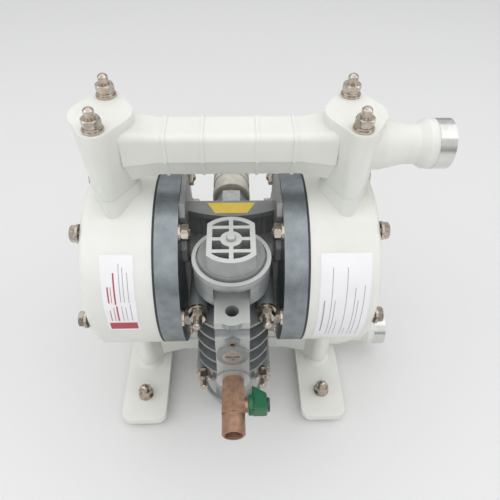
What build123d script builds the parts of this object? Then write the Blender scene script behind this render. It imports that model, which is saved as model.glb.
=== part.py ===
"""Air operated double diaphragm pump, half-inch, with plastic wetted parts.

All sizes are in millimetres.  The pump stands on the plane Z = 0.  X runs along the
diaphragm rod, towards the pipe ports.  Y points away from the air valve, so the air
valve and its shut-off are on the -Y side.  Z is up.
"""
import os
from math import cos, radians, sin, sqrt, tan

from build123d import *

os.makedirs("parts", exist_ok=True)

# ---------------------------------------------------------------- driving sizes
# rod axis and the round chambers stacked along it
rod_z = 126.8              # height of the rod axis over the floor
chamber_r = 64.75          # outer radius of the air and fluid chambers
air_face_x = 33.7          # inner face of each air chamber
air_width = 15.1           # width of the air chamber rim
air_web = 3.0              # thickness of the air chamber's web
air_corner = 3.0           # slope between the web and the rim
diaphragm_rim = 1.5        # squeezed thickness of the diaphragm's rim
fluid_depth = 46.4         # from the diaphragm to the fluid chamber's end face
fluid_end_wall = 8.0       # end wall of the fluid chamber
cavity_r = 50.0            # inside radius of the air and fluid chambers
chamber_round = 5.0        # rounding of the fluid chamber's outer edge
cavity_round = 10.0        # rounding of the fluid cavity's far edge

# through-bolts of the chambers, and the M6 fasteners used everywhere
bolt_circle_r = 58.8
bolt_count = 6
first_bolt = 30.0          # degrees from the top
thread_r = 3.0
thread_hole_r = 3.3
nut_flats = 10.0
nut_height = 5.0
nut_corner = 0.083         # drop of a nut's corners, over its flats
hex_half = 30.0            # degrees from a hexagon's flat to its corner
head_height = 4.0
washer_r = 6.25
washer_t = 1.5
spring_washer_r = 5.4
spring_washer_t = 1.4
stud_tip = 6.1             # stud length past its nut
stud_dome = 0.55           # rounded part of a stud's tip, over its radius
stud_dome_arc = 1.25       # radius of the rounded tip, over the stud's radius
stud_flat = 0.3            # small flat on the tip, over the stud's radius
bolt_tip = 1.5             # bolt length past its nut
face_gap = 0.02            # gap kept between threads and the holes they fill
room = 0.3                 # room left between parts that move apart

# manifolds, above and below the rod axis
column_x = 75.0            # valve columns, from the middle of the pump
port_rise = 97.7           # rod axis to the port axis
joint_rise = 73.2          # rod axis to the joint of manifold and fluid chamber
column_top_rise = 119.9    # rod axis to the outer end of the column
column_r = 18.5            # round middle of a column, at its outer end
ear_r = 8.2                # round stud ear of a column, at its outer end
stud_y = 20.0              # studs, from the column's axis
column_taper = 3.7         # degrees, the column narrows towards the chamber
stud_root = 17.0           # stud length held in the fluid chamber's neck
neck_lip = 0.3             # the chamber's neck stands out past the column
flow_r = 8.5               # bore through the manifold
tube_half = 13.4           # half width of the cross tube
tube_up = 13.5             # port axis to the tube's flat outer side
tube_shelf = 3.9           # port axis to the shelf under the tube's flat sides
tube_down = 16.6           # port axis to the tube's inner side
tube_keel = 7.5            # half width of the tube's inner side
tube_ledge = 1.4           # width of the shelf
tube_corner = 4.0          # rounding of the tube's outer corners
tube_flare = 1.22          # growth of the tube where it meets a column
flare_start = 44.0         # from the middle of the pump
flare_end = 64.0
rib_x = (15.6, 38.0)       # ribs round the cross tube, from the middle
rib_width = 1.8
rib_growth = 1.045         # size of a rib over the tube's own

# threaded ports, both towards +X
port_end_x = 135.2
port_boss_r = 14.15        # plastic boss under the steel ring
port_collar_r = 15.5
port_collar_start = 120.5
port_waist_r = 12.6
port_waist_start = 108.0
port_waist_end = 115.5
port_root_r = 15.8
port_thread_r = 9.3        # core radius of the half-inch pipe thread
port_thread_depth = 16.0
ring_x = 125.8             # steel ring round the port
ring_width = 9.9
ring_wall = 1.5

# check valves: ball, seat, O-ring and cage
ball_r = 8.5
seat_bore_r = 6.4
seat_r = 11.8
seat_height = 5.0
valve_clearance = 0.15     # radial room of seat and cage in their bores
ball_gap = 0.12            # gap between resting ball and seat edge
ball_lift = 4.5
cage_bore_r = 9.3
cage_base = 2.5
cage_roof = 2.0
cage_posts = 4
cage_window = 13.0         # width of the openings between the posts
cage_hole_r = 5.0
o_ring_r = 1.0
o_ring_centre_r = 13.4     # O-ring in the manifold's joint face

# feet, under the inlet manifold
foot_half_x = 18.2
foot_half_y = 77.0
foot_bottom_z = 5.0
foot_top_z = 12.0
foot_corner = 8.0
foot_stud_y = 54.0
cushion_r = 12.0
foot_blend_angle = 45.0    # degrees
foot_stud_root = 1.5
nut_pocket_r = 6.6
nut_pocket_top = 18.0      # seat of the lower manifold nuts
lower_stud_tip = 3.0       # stud length past its nut, in the foot's pocket
foot_blend = 3.0           # slope between column and foot

# diaphragms, rod and discs
rod_r = 6.0
disc_hub_r = 9.0
bush_r = 9.0
bush_length = 12.0
running_gap = 0.05
seal_length = 3.0
inner_disc_r = 33.0
inner_disc_t = 3.4
inner_disc_edge = 1.4
outer_disc_r = 28.0
outer_disc_t = 4.5
outer_disc_flat = 22.0     # radius where the disc's rounded edge begins
outer_disc_arc = 9.0       # radius of the rounded edge's curve
disc_cover_t = 1.0
disc_nut_r = 9.5
disc_nut_t = 5.0
diaphragm_t = 2.4
diaphragm_hub_r = 30.0     # where the rolled ring begins
roll_end_r = 46.0
diaphragm_bulge = 6.5      # height of the diaphragm's rolled ring
rod_chamfer = 1.0
pilot_r = 2.0
pilot_drop = 17.0          # pilot rod, under the rod axis
pilot_reach = 1.8          # pilot rod's reach into each air chamber
pilot_chamfer = 0.4

# centre body
flange_t = 3.6             # side flange that carries an air chamber
chamber_joint = 0.2        # sealing compound between centre body and air chamber
core_r = 21.5              # tunnel of the rod
body_front_y = -19.0       # face that carries the air valve
body_half_x = 30.2
body_top_rise = 17.2       # front block, over the rod axis
body_drop = 76.8           # front block, under the rod axis
body_corner = 5.0
body_back_y = 12.0         # back of the upright ribs
rear_wall_y = 8.0
rear_rib = 5.0
ear_half = 16.0            # half width of the flange's upper and lower ears
ear_rise = 63.7            # ends of the ears, from the rod axis
ear_shoulder = 56.7
waist_half = 21.5
waist_rise = 44.0
shoulder_half = 29.5
shoulder_top = 35.0
shoulder_bottom = 24.0
waist_low = 15.0
ear_round = 1.5
plate_top_rise = 45.2      # top plate, over the rod axis
plate_t = 4.0
plate_back_y = 9.5
plate_side_y = 0.8
plate_front_y = -7.0
pillar_x = 19.4
pillar_r = 5.6
pillar_y = 4.6
screw_circle_r = 17.5
screw_r = 2.5
screw_head_r = 4.8
screw_head_t = 2.4
screw_head_taper = 35.0    # degrees
screw_socket = 3.0
screw_socket_depth = 1.6
screw_length = 9.0
screw_count = 4
first_screw = 45.0         # degrees from the Y axis
exhaust_z = 155.0
exhaust_boss_r = 12.8
exhaust_boss_y = 14.0
exhaust_bore_r = 6.0

# air valve, in front of the centre body
valve_z = 97.5             # middle of the air valve
spool_y = -45.0            # axis of the spool
gasket_t = 0.5
valve_plate_t = 6.5
valve_plate_half_x = 26.6
valve_plate_corner = 5.0
valve_plate_half_z = 46.0
stud_x = 22.5
stud_z = 39.0              # studs over and under the valve's middle
boss_end_y = -60.0
boss_r = 6.2
boss_web = 8.0             # width of the webs that reach the bosses
spot_face_room = 0.5
spot_face_depth = 14.0
valve_stud_root = 8.2
valve_stud_tip = 7.5
barrel_r = 17.0
barrel_half = 54.0
head_r = 24.7
head_bottom = 52.5         # over the valve's middle
head_top = 70.5
head_slope = 5.0           # height of the slope under the head
neck_end_r = 12.6
neck_slope = 4.0
neck_bottom = 71.5         # under the valve's middle
fin_r = 28.6
fin_t = 2.4
fin_pitch = 14.2
fin_count = 5
fin_side = 25.3            # flat side of a fin, from the middle
fin_shift = 5.5            # middle fin, over the valve's middle
sleeve_r = 9.5
spool_r = 6.5
sleeve_port_r = 1.6
sleeve_port_z = (61.0, 79.0, 97.5, 116.0, 134.0)
spool_rest_gap = 2.0       # under the resting spool
spool_length = 120.0
spool_waist_r = 4.2
spool_land = 12.0
spool_lands = 5
column_half = 10.9         # inlet column and pad, half width
valve_front_y = -84.5
pad_top_z = 155.0
pad_t = 4.5
pad_centre_y = -75.5
pad_port_r = 4.28          # core radius of the one-eighth pipe thread
pad_port_depth = 16.0
undercut_r = 6.0           # hollow in the column's front, under the pad's rim
undercut_out = 4.0         # axis of the hollow, in front of the column
notch_half = 11.5          # notch in the head, behind the pad
notch_back_y = -62.0
notch_top_z = 165.6
inlet_z = 90.0
inlet_boss_r = 11.8
inlet_boss_y = -86.0
inlet_bore_r = 6.6
inlet_bore_depth = 13.0
small_plug_z = 136.0
small_boss_r = 4.6
small_boss_y = -87.0
small_plug_r = 3.1
small_socket = 2.8
large_plug_z = 121.2
large_boss_r = 10.4
large_boss_y = -86.6
large_plug_r = 6.8
large_slot = 1.8
large_slot_length = 9.0
plug_depth = 7.0
plug_proud = 0.4
plug_slot_depth = 3.0

# caps that close the spool's bore
cap_flange_r = 25.2
cap_flange_t = 4.0
cap_groove_r = 22.6
cap_groove_w = 1.4
cap_groove_depth = 1.6
cap_step = 2.0
cap_spigot = 5.0
cap_block_r = 20.3
cap_block_half = 14.9
cap_block_height = 15.0
cap_wall = 3.3
cap_bar = 2.7
cap_bar_y = 10.4           # pitch of the cross bars
cap_hub_r = 6.7
cap_well = 9.0
lower_ring_bore = 22.4
lower_ring_r = 23.5        # reach of the spokes into the ring
lower_spoke = 6.0
cap_seal_t = 1.2
cap_seal_r = 11.0
button_r = 2.9
button_chamfer = 0.6
button_proud = 2.0
collar_r = 8.1             # collar under the button
collar_t = 2.0
collar_room_r = 8.4
collar_cover = 1.0         # cap's floor over the room of the collar
button_hole_r = 3.0
nose_length = 2.7          # nose under the collar, that meets the spool
spring_r = 7.6
spring_wire = 0.3
spring_turns = 2.5

# shut-off valve on the air inlet
nipple_flats = 13.0
nipple_end_y = -95.6
shut_hex_flats = 15.4
shut_body_end_y = -112.0
shut_end_y = -125.0
shut_end_r = 7.7
shut_thread_r = 5.72       # core radius of the quarter-inch pipe thread
shut_thread_depth = 9.0
shut_bore_r = 3.4
shut_ball_r = 5.2
shut_axis_y = -104.5
shut_cavity_r = 5.5
shut_seat_gap = 4.02
shut_seat_t = 1.6
shut_end_chamfer = 0.8
tang_x = 3.9               # bottom of the slot in the ball
tang_length = 1.5
tang_slot = 2.4
tang_room = 0.15           # room each side of the stem's tang
hex_turn = 30.0            # turn of the body's hexagon, degrees
shut_boss_r = 4.9
shut_boss_x = 9.6
shut_stem_r = 2.0
shut_stem_x = 20.0
lever_hub_r = 6.6
lever_hub_t = 3.6
lever_x = 20.4
lever_front = 6.4          # lever's reach in front of its stem
lever_back = 12.5          # lever's reach behind its stem
lever_half = 5.6
lever_tip = 3.4
lever_cap_r = 4.6
lever_cap_t = 2.2
lever_cap_chamfer = 0.4
lever_gap = 0.3            # between the lever's hub and the body's boss
lever_overlap = 1.2        # hub and handle share this much
lever_slim = 2.0           # narrowing towards the lever's tip

# exhaust silencer, behind the centre body
bushing_flats = 22.0
bushing_length = 15.0
bushing_neck_r = 9.0
bushing_root_y = 4.0
silencer_start_y = 33.0
silencer_r = 14.2
silencer_groove_r = 13.4
silencer_length = 70.0
silencer_pitch = 6.5
silencer_rib = 3.0
silencer_cup = 3.0
silencer_rim = 7.0
silencer_cup_r = 12.4
silencer_core_r = 9.0
silencer_hole_r = 6.0
silencer_wall = 2.4
silencer_neck_r = 8.0
silencer_neck_y = 20.0

# ---------------------------------------------------------------- derived places
rod_axis = Axis((0, 0, rod_z), (1, 0, 0))
air_outer_x = air_face_x + air_width
air_floor_x = air_face_x + air_web
fluid_face_x = air_outer_x + diaphragm_rim
fluid_end_x = fluid_face_x + fluid_depth
cavity_end_x = fluid_end_x - fluid_end_wall
body_side_x = air_face_x - chamber_joint
seat_bore = seat_r + valve_clearance
ball_rest = sqrt((ball_r + ball_gap) ** 2 - seat_bore_r**2)
cage_height = ball_rest + ball_r + ball_lift + room + cage_roof
spool_axis = Axis((0, spool_y, 0), (0, 0, 1))
valve_back_y = body_front_y - gasket_t
cap_seat_z = valve_z + head_top
lower_seat_z = valve_z - neck_bottom
cap_face_z = cap_seat_z + cap_flange_t
collar_room_top = cap_face_z - collar_cover
collar_top_z = collar_room_top - room
bushing_end_y = exhaust_boss_y + bushing_length
inlet_axis = Axis((0, 0, inlet_z), (0, 1, 0))
chamber_back_y = shut_axis_y + shut_seat_gap + shut_seat_t
seat_front_y = shut_axis_y - shut_seat_gap
bolt_angles = [first_bolt + 360 / bolt_count * i for i in range(bolt_count)]
bolt_spots = [(-bolt_circle_r * sin(radians(a)), bolt_circle_r * cos(radians(a))) for a in bolt_angles]
sides = {"left": -1, "right": 1}
ups = {"discharge": 1, "inlet": -1}


def save(builder, name):
    """Label a finished piece and write it to its own file."""
    builder.part.label = name
    export_step(builder.part, f"parts/{name}.step")


def bolt_places(x):
    """Through-bolt positions on the bolt circle in the plane at x."""
    return [(x, y, rod_z + z) for y, z in bolt_spots]


def hex_nut(flats, height, bore):
    """A nut with chamfered corners, standing on its own XY plane."""
    with BuildPart() as nut:
        with BuildSketch():
            RegularPolygon(flats / 2, 6, major_radius=False)
        extrude(amount=height)
        with BuildSketch(Plane.XZ):
            with BuildLine():
                corner = flats / 2 / cos(radians(hex_half))
                drop = nut_corner * flats
                Polyline((0, 0), (flats / 2, 0), (corner, drop), (corner, height - drop),
                         (flats / 2, height), (0, height), close=True)
            make_face()
        revolve(axis=Axis.Z, mode=Mode.INTERSECT)
        if bore:
            with BuildSketch():
                Circle(bore)
            extrude(amount=height, mode=Mode.SUBTRACT)
    return nut.part


def stepped_washer(bore):
    """A plain washer with a spring washer on it, standing on its own XY plane."""
    with BuildPart() as washer:
        with BuildSketch():
            Circle(washer_r)
        extrude(amount=washer_t)
        with BuildSketch(Plane.XY.offset(washer_t)):
            Circle(spring_washer_r)
        extrude(amount=spring_washer_t)
        with BuildSketch():
            Circle(bore)
        extrude(amount=washer_t + spring_washer_t, mode=Mode.SUBTRACT)
    return washer.part


def plain_washer(bore):
    """A flat washer, standing on its own XY plane."""
    with BuildPart() as washer:
        with BuildSketch():
            Circle(washer_r)
            Circle(bore, mode=Mode.SUBTRACT)
        extrude(amount=washer_t)
    return washer.part


def domed_rod(radius, length):
    """A stud with a rounded tip, standing on its own XY plane."""
    with BuildPart() as rod:
        with BuildSketch(Plane.XZ):
            with BuildLine():
                Line((0, 0), (radius, 0))
                Line((radius, 0), (radius, length - stud_dome * radius))
                RadiusArc((radius, length - stud_dome * radius), (stud_flat * radius, length),
                          -stud_dome_arc * radius)
                Polyline((stud_flat * radius, length), (0, length), (0, 0))
            make_face()
        revolve(axis=Axis.Z)
    return rod.part


nut = hex_nut(nut_flats, nut_height, thread_r + face_gap)
washers = stepped_washer(thread_hole_r)
washer_stack = washer_t + spring_washer_t


# ---------------------------------------------------------------- fluid chambers
joint_shrink = (column_top_rise - joint_rise) * tan(radians(column_taper))
neck_r = column_r - joint_shrink + neck_lip
neck_ear_r = ear_r - joint_shrink + neck_lip

for name, side in sides.items():
    with BuildPart() as fluid_chamber:
        with BuildSketch(Plane.XZ):
            with BuildLine():
                FilletPolyline((side * fluid_face_x, rod_z), (side * fluid_face_x, rod_z + chamber_r),
                               (side * fluid_end_x, rod_z + chamber_r), (side * fluid_end_x, rod_z),
                               radius=(0, chamber_round))
                Line((side * fluid_end_x, rod_z), (side * fluid_face_x, rod_z))
            make_face()
        revolve(axis=rod_axis)
        # necks that carry the manifolds, above and below
        for up in ups.values():
            joint_plane = Plane((side * column_x, 0, rod_z + up * joint_rise), x_dir=(1, 0, 0),
                                z_dir=(0, 0, -up))
            with BuildSketch(joint_plane):
                Circle(neck_r)
                with GridLocations(0, 2 * stud_y, 1, 2):
                    Circle(neck_ear_r)
                make_hull()
            extrude(amount=joint_rise - cavity_r)
        with BuildSketch(Plane.XZ):
            with BuildLine():
                FilletPolyline((side * fluid_face_x, rod_z), (side * fluid_face_x, rod_z + cavity_r),
                               (side * cavity_end_x, rod_z + cavity_r), (side * cavity_end_x, rod_z),
                               radius=(0, cavity_round))
                Line((side * cavity_end_x, rod_z), (side * fluid_face_x, rod_z))
            make_face()
        revolve(axis=rod_axis, mode=Mode.SUBTRACT)
        # flow passages with the pockets of the valve seats
        with BuildSketch(Plane((side * column_x, 0, rod_z + joint_rise), z_dir=(0, 0, -1))):
            Circle(seat_bore)
        extrude(amount=seat_height, mode=Mode.SUBTRACT)
        with BuildSketch(Plane((side * column_x, 0, rod_z))):
            Circle(flow_r)
        extrude(amount=joint_rise, mode=Mode.SUBTRACT)
        with BuildSketch(Plane((side * column_x, 0, rod_z - joint_rise))):
            Circle(seat_bore)
        extrude(amount=joint_rise, mode=Mode.SUBTRACT)
        for up in ups.values():
            with BuildSketch(Plane((side * column_x, 0, rod_z + up * joint_rise), z_dir=(0, 0, -up))):
                with GridLocations(0, 2 * stud_y, 1, 2):
                    Circle(thread_r + face_gap)
            extrude(amount=stud_root, mode=Mode.SUBTRACT)
        with BuildSketch(Plane((side * fluid_face_x, 0, rod_z), x_dir=(0, 1, 0), z_dir=(side, 0, 0))):
            with Locations(*bolt_spots):
                Circle(thread_hole_r)
        extrude(amount=fluid_depth, mode=Mode.SUBTRACT)
    save(fluid_chamber, f"fluid_chamber_{name}")

# ---------------------------------------------------------------- air chambers
screw_angles = [radians(first_screw + 360 / screw_count * i) for i in range(screw_count)]
screw_places = [(screw_circle_r * cos(angle), screw_circle_r * sin(angle)) for angle in screw_angles]
for name, side in sides.items():
    with BuildPart() as air_chamber:
        with BuildSketch(Plane.XZ):
            with BuildLine():
                Polyline((side * air_face_x, rod_z + bush_r), (side * air_face_x, rod_z + chamber_r),
                         (side * air_outer_x, rod_z + chamber_r), (side * air_outer_x, rod_z + cavity_r),
                         (side * (air_floor_x + air_corner), rod_z + cavity_r),
                         (side * air_floor_x, rod_z + cavity_r - air_corner),
                         (side * air_floor_x, rod_z + bush_r), close=True)
            make_face()
        revolve(axis=rod_axis)
        face_plane = Plane((side * air_face_x, 0, rod_z), x_dir=(0, 1, 0), z_dir=(side, 0, 0))
        with BuildSketch(face_plane):
            with Locations(*bolt_spots):
                Circle(thread_hole_r)
            with Locations(*screw_places):
                Circle(screw_r + face_gap)
            with Locations((0, -side * pilot_drop)):
                Circle(pilot_r + running_gap)
        extrude(amount=air_width, mode=Mode.SUBTRACT)
        with BuildSketch(Plane((side * air_floor_x, 0, rod_z), x_dir=(0, 1, 0), z_dir=(-side, 0, 0))):
            with Locations(*screw_places):
                Circle(screw_head_r + face_gap)
        extrude(amount=screw_head_t, taper=screw_head_taper, mode=Mode.SUBTRACT)
    save(air_chamber, f"air_chamber_{name}")

# ---------------------------------------------------------------- diaphragms, rod and discs
diaphragm_inner_x = air_outer_x + (diaphragm_rim - diaphragm_t) / 2
diaphragm_outer_x = diaphragm_inner_x + diaphragm_t
roll_start = rod_z + diaphragm_hub_r
roll_middle = rod_z + (diaphragm_hub_r + roll_end_r) / 2
roll_end = rod_z + roll_end_r
for name, side in sides.items():
    with BuildPart() as diaphragm:
        with BuildSketch(Plane.XZ):
            with BuildLine():
                Line((side * diaphragm_inner_x, rod_z + rod_r), (side * diaphragm_inner_x, roll_start))
                ThreePointArc((side * diaphragm_inner_x, roll_start),
                              (side * (diaphragm_inner_x + diaphragm_bulge), roll_middle),
                              (side * diaphragm_inner_x, roll_end))
                Polyline((side * diaphragm_inner_x, roll_end), (side * air_outer_x, rod_z + cavity_r),
                         (side * air_outer_x, rod_z + chamber_r), (side * fluid_face_x, rod_z + chamber_r),
                         (side * fluid_face_x, rod_z + cavity_r), (side * diaphragm_outer_x, roll_end))
                ThreePointArc((side * diaphragm_outer_x, roll_end),
                              (side * (diaphragm_outer_x + diaphragm_bulge), roll_middle),
                              (side * diaphragm_outer_x, roll_start))
                Polyline((side * diaphragm_outer_x, roll_start), (side * diaphragm_outer_x, rod_z + rod_r),
                         (side * diaphragm_inner_x, rod_z + rod_r))
            make_face()
        revolve(axis=rod_axis)
        with BuildSketch(Plane((side * air_outer_x, 0, rod_z), x_dir=(0, 1, 0), z_dir=(side, 0, 0))):
            with Locations(*bolt_spots):
                Circle(thread_hole_r)
        extrude(amount=diaphragm_rim, mode=Mode.SUBTRACT)
    save(diaphragm, f"diaphragm_{name}")

rod_end_x = diaphragm_outer_x + outer_disc_t + disc_nut_t
with BuildPart() as centre_rod:
    with BuildSketch(Plane.YZ.offset(-rod_end_x)):
        with Locations((0, rod_z)):
            Circle(rod_r)
    extrude(amount=2 * rod_end_x)
    chamfer(centre_rod.edges().filter_by(GeomType.CIRCLE), rod_chamfer)
save(centre_rod, "centre_rod")

with BuildPart() as inner_discs:
    disc_back_x = diaphragm_inner_x - inner_disc_t
    disc_edge_x = diaphragm_inner_x - inner_disc_edge
    with BuildSketch(Plane.XZ):
        with BuildLine():
            Polyline((disc_back_x, rod_z + rod_r), (disc_back_x, rod_z + disc_hub_r),
                     (disc_edge_x, rod_z + inner_disc_r), (diaphragm_inner_x, rod_z + inner_disc_r),
                     (diaphragm_inner_x, rod_z + rod_r), close=True)
        make_face()
    revolve(axis=rod_axis)
    mirror(about=Plane.YZ)
save(inner_discs, "inner_discs")

with BuildPart() as outer_discs:
    disc_top_x = diaphragm_outer_x + outer_disc_t
    cover_in_x = rod_end_x + running_gap
    with BuildSketch(Plane.XZ):
        with BuildLine():
            Line((diaphragm_outer_x, rod_z + rod_r + running_gap), (diaphragm_outer_x, rod_z + outer_disc_r))
            RadiusArc((diaphragm_outer_x, rod_z + outer_disc_r), (disc_top_x, rod_z + outer_disc_flat),
                      -outer_disc_arc)
            Polyline((disc_top_x, rod_z + outer_disc_flat), (disc_top_x, rod_z + disc_nut_r),
                     (cover_in_x + disc_cover_t, rod_z + disc_nut_r), (cover_in_x + disc_cover_t, rod_z),
                     (cover_in_x, rod_z), (cover_in_x, rod_z + rod_r + running_gap),
                     (diaphragm_outer_x, rod_z + rod_r + running_gap))
        make_face()
    revolve(axis=rod_axis)
    mirror(about=Plane.YZ)
save(outer_discs, "outer_discs")

bush_outer_x = body_side_x - seal_length
for name, start_x, end_x in (("rod_bushes", bush_outer_x - bush_length, bush_outer_x),
                             ("rod_seals", bush_outer_x, body_side_x)):
    with BuildPart() as rod_ring:
        with BuildSketch(Plane.YZ.offset(start_x)):
            with Locations((0, rod_z)):
                Circle(bush_r)
                Circle(rod_r + running_gap, mode=Mode.SUBTRACT)
        extrude(amount=end_x - start_x)
        mirror(about=Plane.YZ)
    save(rod_ring, name)

pilot_half = air_floor_x + pilot_reach
with BuildPart() as pilot_rod:
    with BuildSketch(Plane.YZ.offset(-pilot_half)):
        with Locations((0, rod_z - pilot_drop)):
            Circle(pilot_r)
    extrude(amount=2 * pilot_half)
    chamfer(pilot_rod.edges().filter_by(GeomType.CIRCLE), pilot_chamfer)
save(pilot_rod, "pilot_rod")

# ---------------------------------------------------------------- centre body
with BuildPart() as centre_body:
    # side flanges with ears between the through-bolts
    quarter = [(ear_half, ear_rise), (waist_half, ear_shoulder), (waist_half, waist_rise),
               (shoulder_half, shoulder_top), (shoulder_half, shoulder_bottom), (waist_half, waist_low)]
    right_half = quarter + [(y, -z) for y, z in reversed(quarter)]
    around = right_half + [(-y, -z) for y, z in right_half]
    with BuildSketch(Plane((-body_side_x, 0, rod_z), x_dir=(0, 1, 0), z_dir=(1, 0, 0))):
        with BuildLine():
            FilletPolyline(*around, close=True, radius=ear_round)
        make_face()
    extrude(amount=flange_t)
    mirror(about=Plane.YZ)
    # tunnel of the rod, cut off flush with the front face
    with BuildSketch(Plane.YZ.offset(-body_side_x)):
        with Locations((0, rod_z)):
            Circle(core_r)
        with Locations((body_front_y + core_r, rod_z)):
            Rectangle(2 * core_r, 2 * core_r, mode=Mode.INTERSECT)
    extrude(amount=2 * body_side_x)
    # front block that carries the air valve
    with BuildSketch(Plane.XZ.offset(-body_front_y)):
        with Locations((0, rod_z + (body_top_rise - body_drop) / 2)):
            RectangleRounded(2 * body_half_x, body_top_rise + body_drop, body_corner)
    extrude(amount=body_front_y)
    # rear wall with upright ribs
    with BuildSketch(Plane.XZ):
        with Locations((0, rod_z)):
            Rectangle(2 * (pillar_x + pillar_r), 2 * plate_top_rise - plate_t)
    extrude(amount=-rear_wall_y)
    with BuildSketch(Plane.XZ):
        with Locations((0, rod_z)):
            with GridLocations(2 * pillar_x, 0, 2, 1):
                Rectangle(rear_rib, 2 * plate_top_rise - plate_t)
    extrude(amount=-body_back_y)
    # plates with a bowed front rim, above and below, with round pillars between them
    for rise in (plate_top_rise, plate_t - plate_top_rise):
        with BuildSketch(Plane.XY.offset(rod_z + rise)):
            with BuildLine():
                Polyline((-body_side_x, plate_side_y), (-body_side_x, plate_back_y),
                         (body_side_x, plate_back_y), (body_side_x, plate_side_y))
                ThreePointArc((body_side_x, plate_side_y), (0, plate_front_y), (-body_side_x, plate_side_y))
            make_face()
        extrude(amount=-plate_t)
    with BuildSketch(Plane.XY.offset(rod_z - plate_top_rise + plate_t)):
        with Locations((0, pillar_y)):
            with GridLocations(2 * pillar_x, 0, 2, 1):
                Circle(pillar_r)
    extrude(amount=2 * plate_top_rise - 2 * plate_t)
    # exhaust boss on the back
    with BuildSketch(Plane.XZ):
        with Locations((0, exhaust_z)):
            Circle(exhaust_boss_r)
    extrude(amount=-exhaust_boss_y)
    # bores for the bushes and the pilot rod
    with BuildSketch(Plane.YZ.offset(-body_side_x)):
        with Locations((0, rod_z)):
            Circle(bush_r)
        with Locations((0, rod_z - pilot_drop)):
            Circle(pilot_r + running_gap)
    extrude(amount=2 * body_side_x, mode=Mode.SUBTRACT)
    # tapped holes of the chamber screws, the exhaust bushing and the valve studs
    for side in sides.values():
        with BuildSketch(Plane((side * body_side_x, 0, rod_z), x_dir=(0, 1, 0), z_dir=(-side, 0, 0))):
            with Locations(*screw_places):
                Circle(screw_r + face_gap)
        extrude(amount=screw_length, mode=Mode.SUBTRACT)
    with BuildSketch(Plane.XZ.offset(-exhaust_boss_y)):
        with Locations((0, exhaust_z)):
            Circle(bushing_neck_r + face_gap)
    extrude(amount=exhaust_boss_y - bushing_root_y, mode=Mode.SUBTRACT)
    with BuildSketch(Plane.XZ.offset(-body_front_y)):
        with Locations((0, valve_z)):
            with GridLocations(2 * stud_x, 2 * stud_z, 2, 2):
                Circle(thread_r + face_gap)
    extrude(amount=-valve_stud_root - face_gap, mode=Mode.SUBTRACT)
save(centre_body, "centre_body")

with BuildPart() as air_chamber_screws:
    for side in sides.values():
        head_plane = Plane((side * air_floor_x, 0, rod_z), x_dir=(0, 1, 0), z_dir=(-side, 0, 0))
        with BuildSketch(head_plane):
            with Locations(*screw_places):
                Circle(screw_head_r)
        extrude(amount=screw_head_t, taper=screw_head_taper)
        with BuildSketch(head_plane):
            with Locations(*screw_places):
                Circle(screw_r)
        extrude(amount=screw_length)
        with BuildSketch(head_plane):
            with Locations(*screw_places):
                RegularPolygon(screw_socket / 2, 6, major_radius=False)
        extrude(amount=screw_socket_depth, mode=Mode.SUBTRACT)
save(air_chamber_screws, "air_chamber_screws")

# ---------------------------------------------------------------- air valve
stud_grid = [(x, valve_z + z) for x in (-stud_x, stud_x) for z in (-stud_z, stud_z)]
with BuildPart() as valve_gasket:
    with BuildSketch(Plane.XZ.offset(-body_front_y)):
        with Locations((0, valve_z)):
            RectangleRounded(2 * valve_plate_half_x, 2 * valve_plate_half_z, valve_plate_corner)
        with Locations(*stud_grid):
            Circle(boss_r)
            Circle(thread_hole_r, mode=Mode.SUBTRACT)
    extrude(amount=gasket_t)
save(valve_gasket, "valve_gasket")

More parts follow.
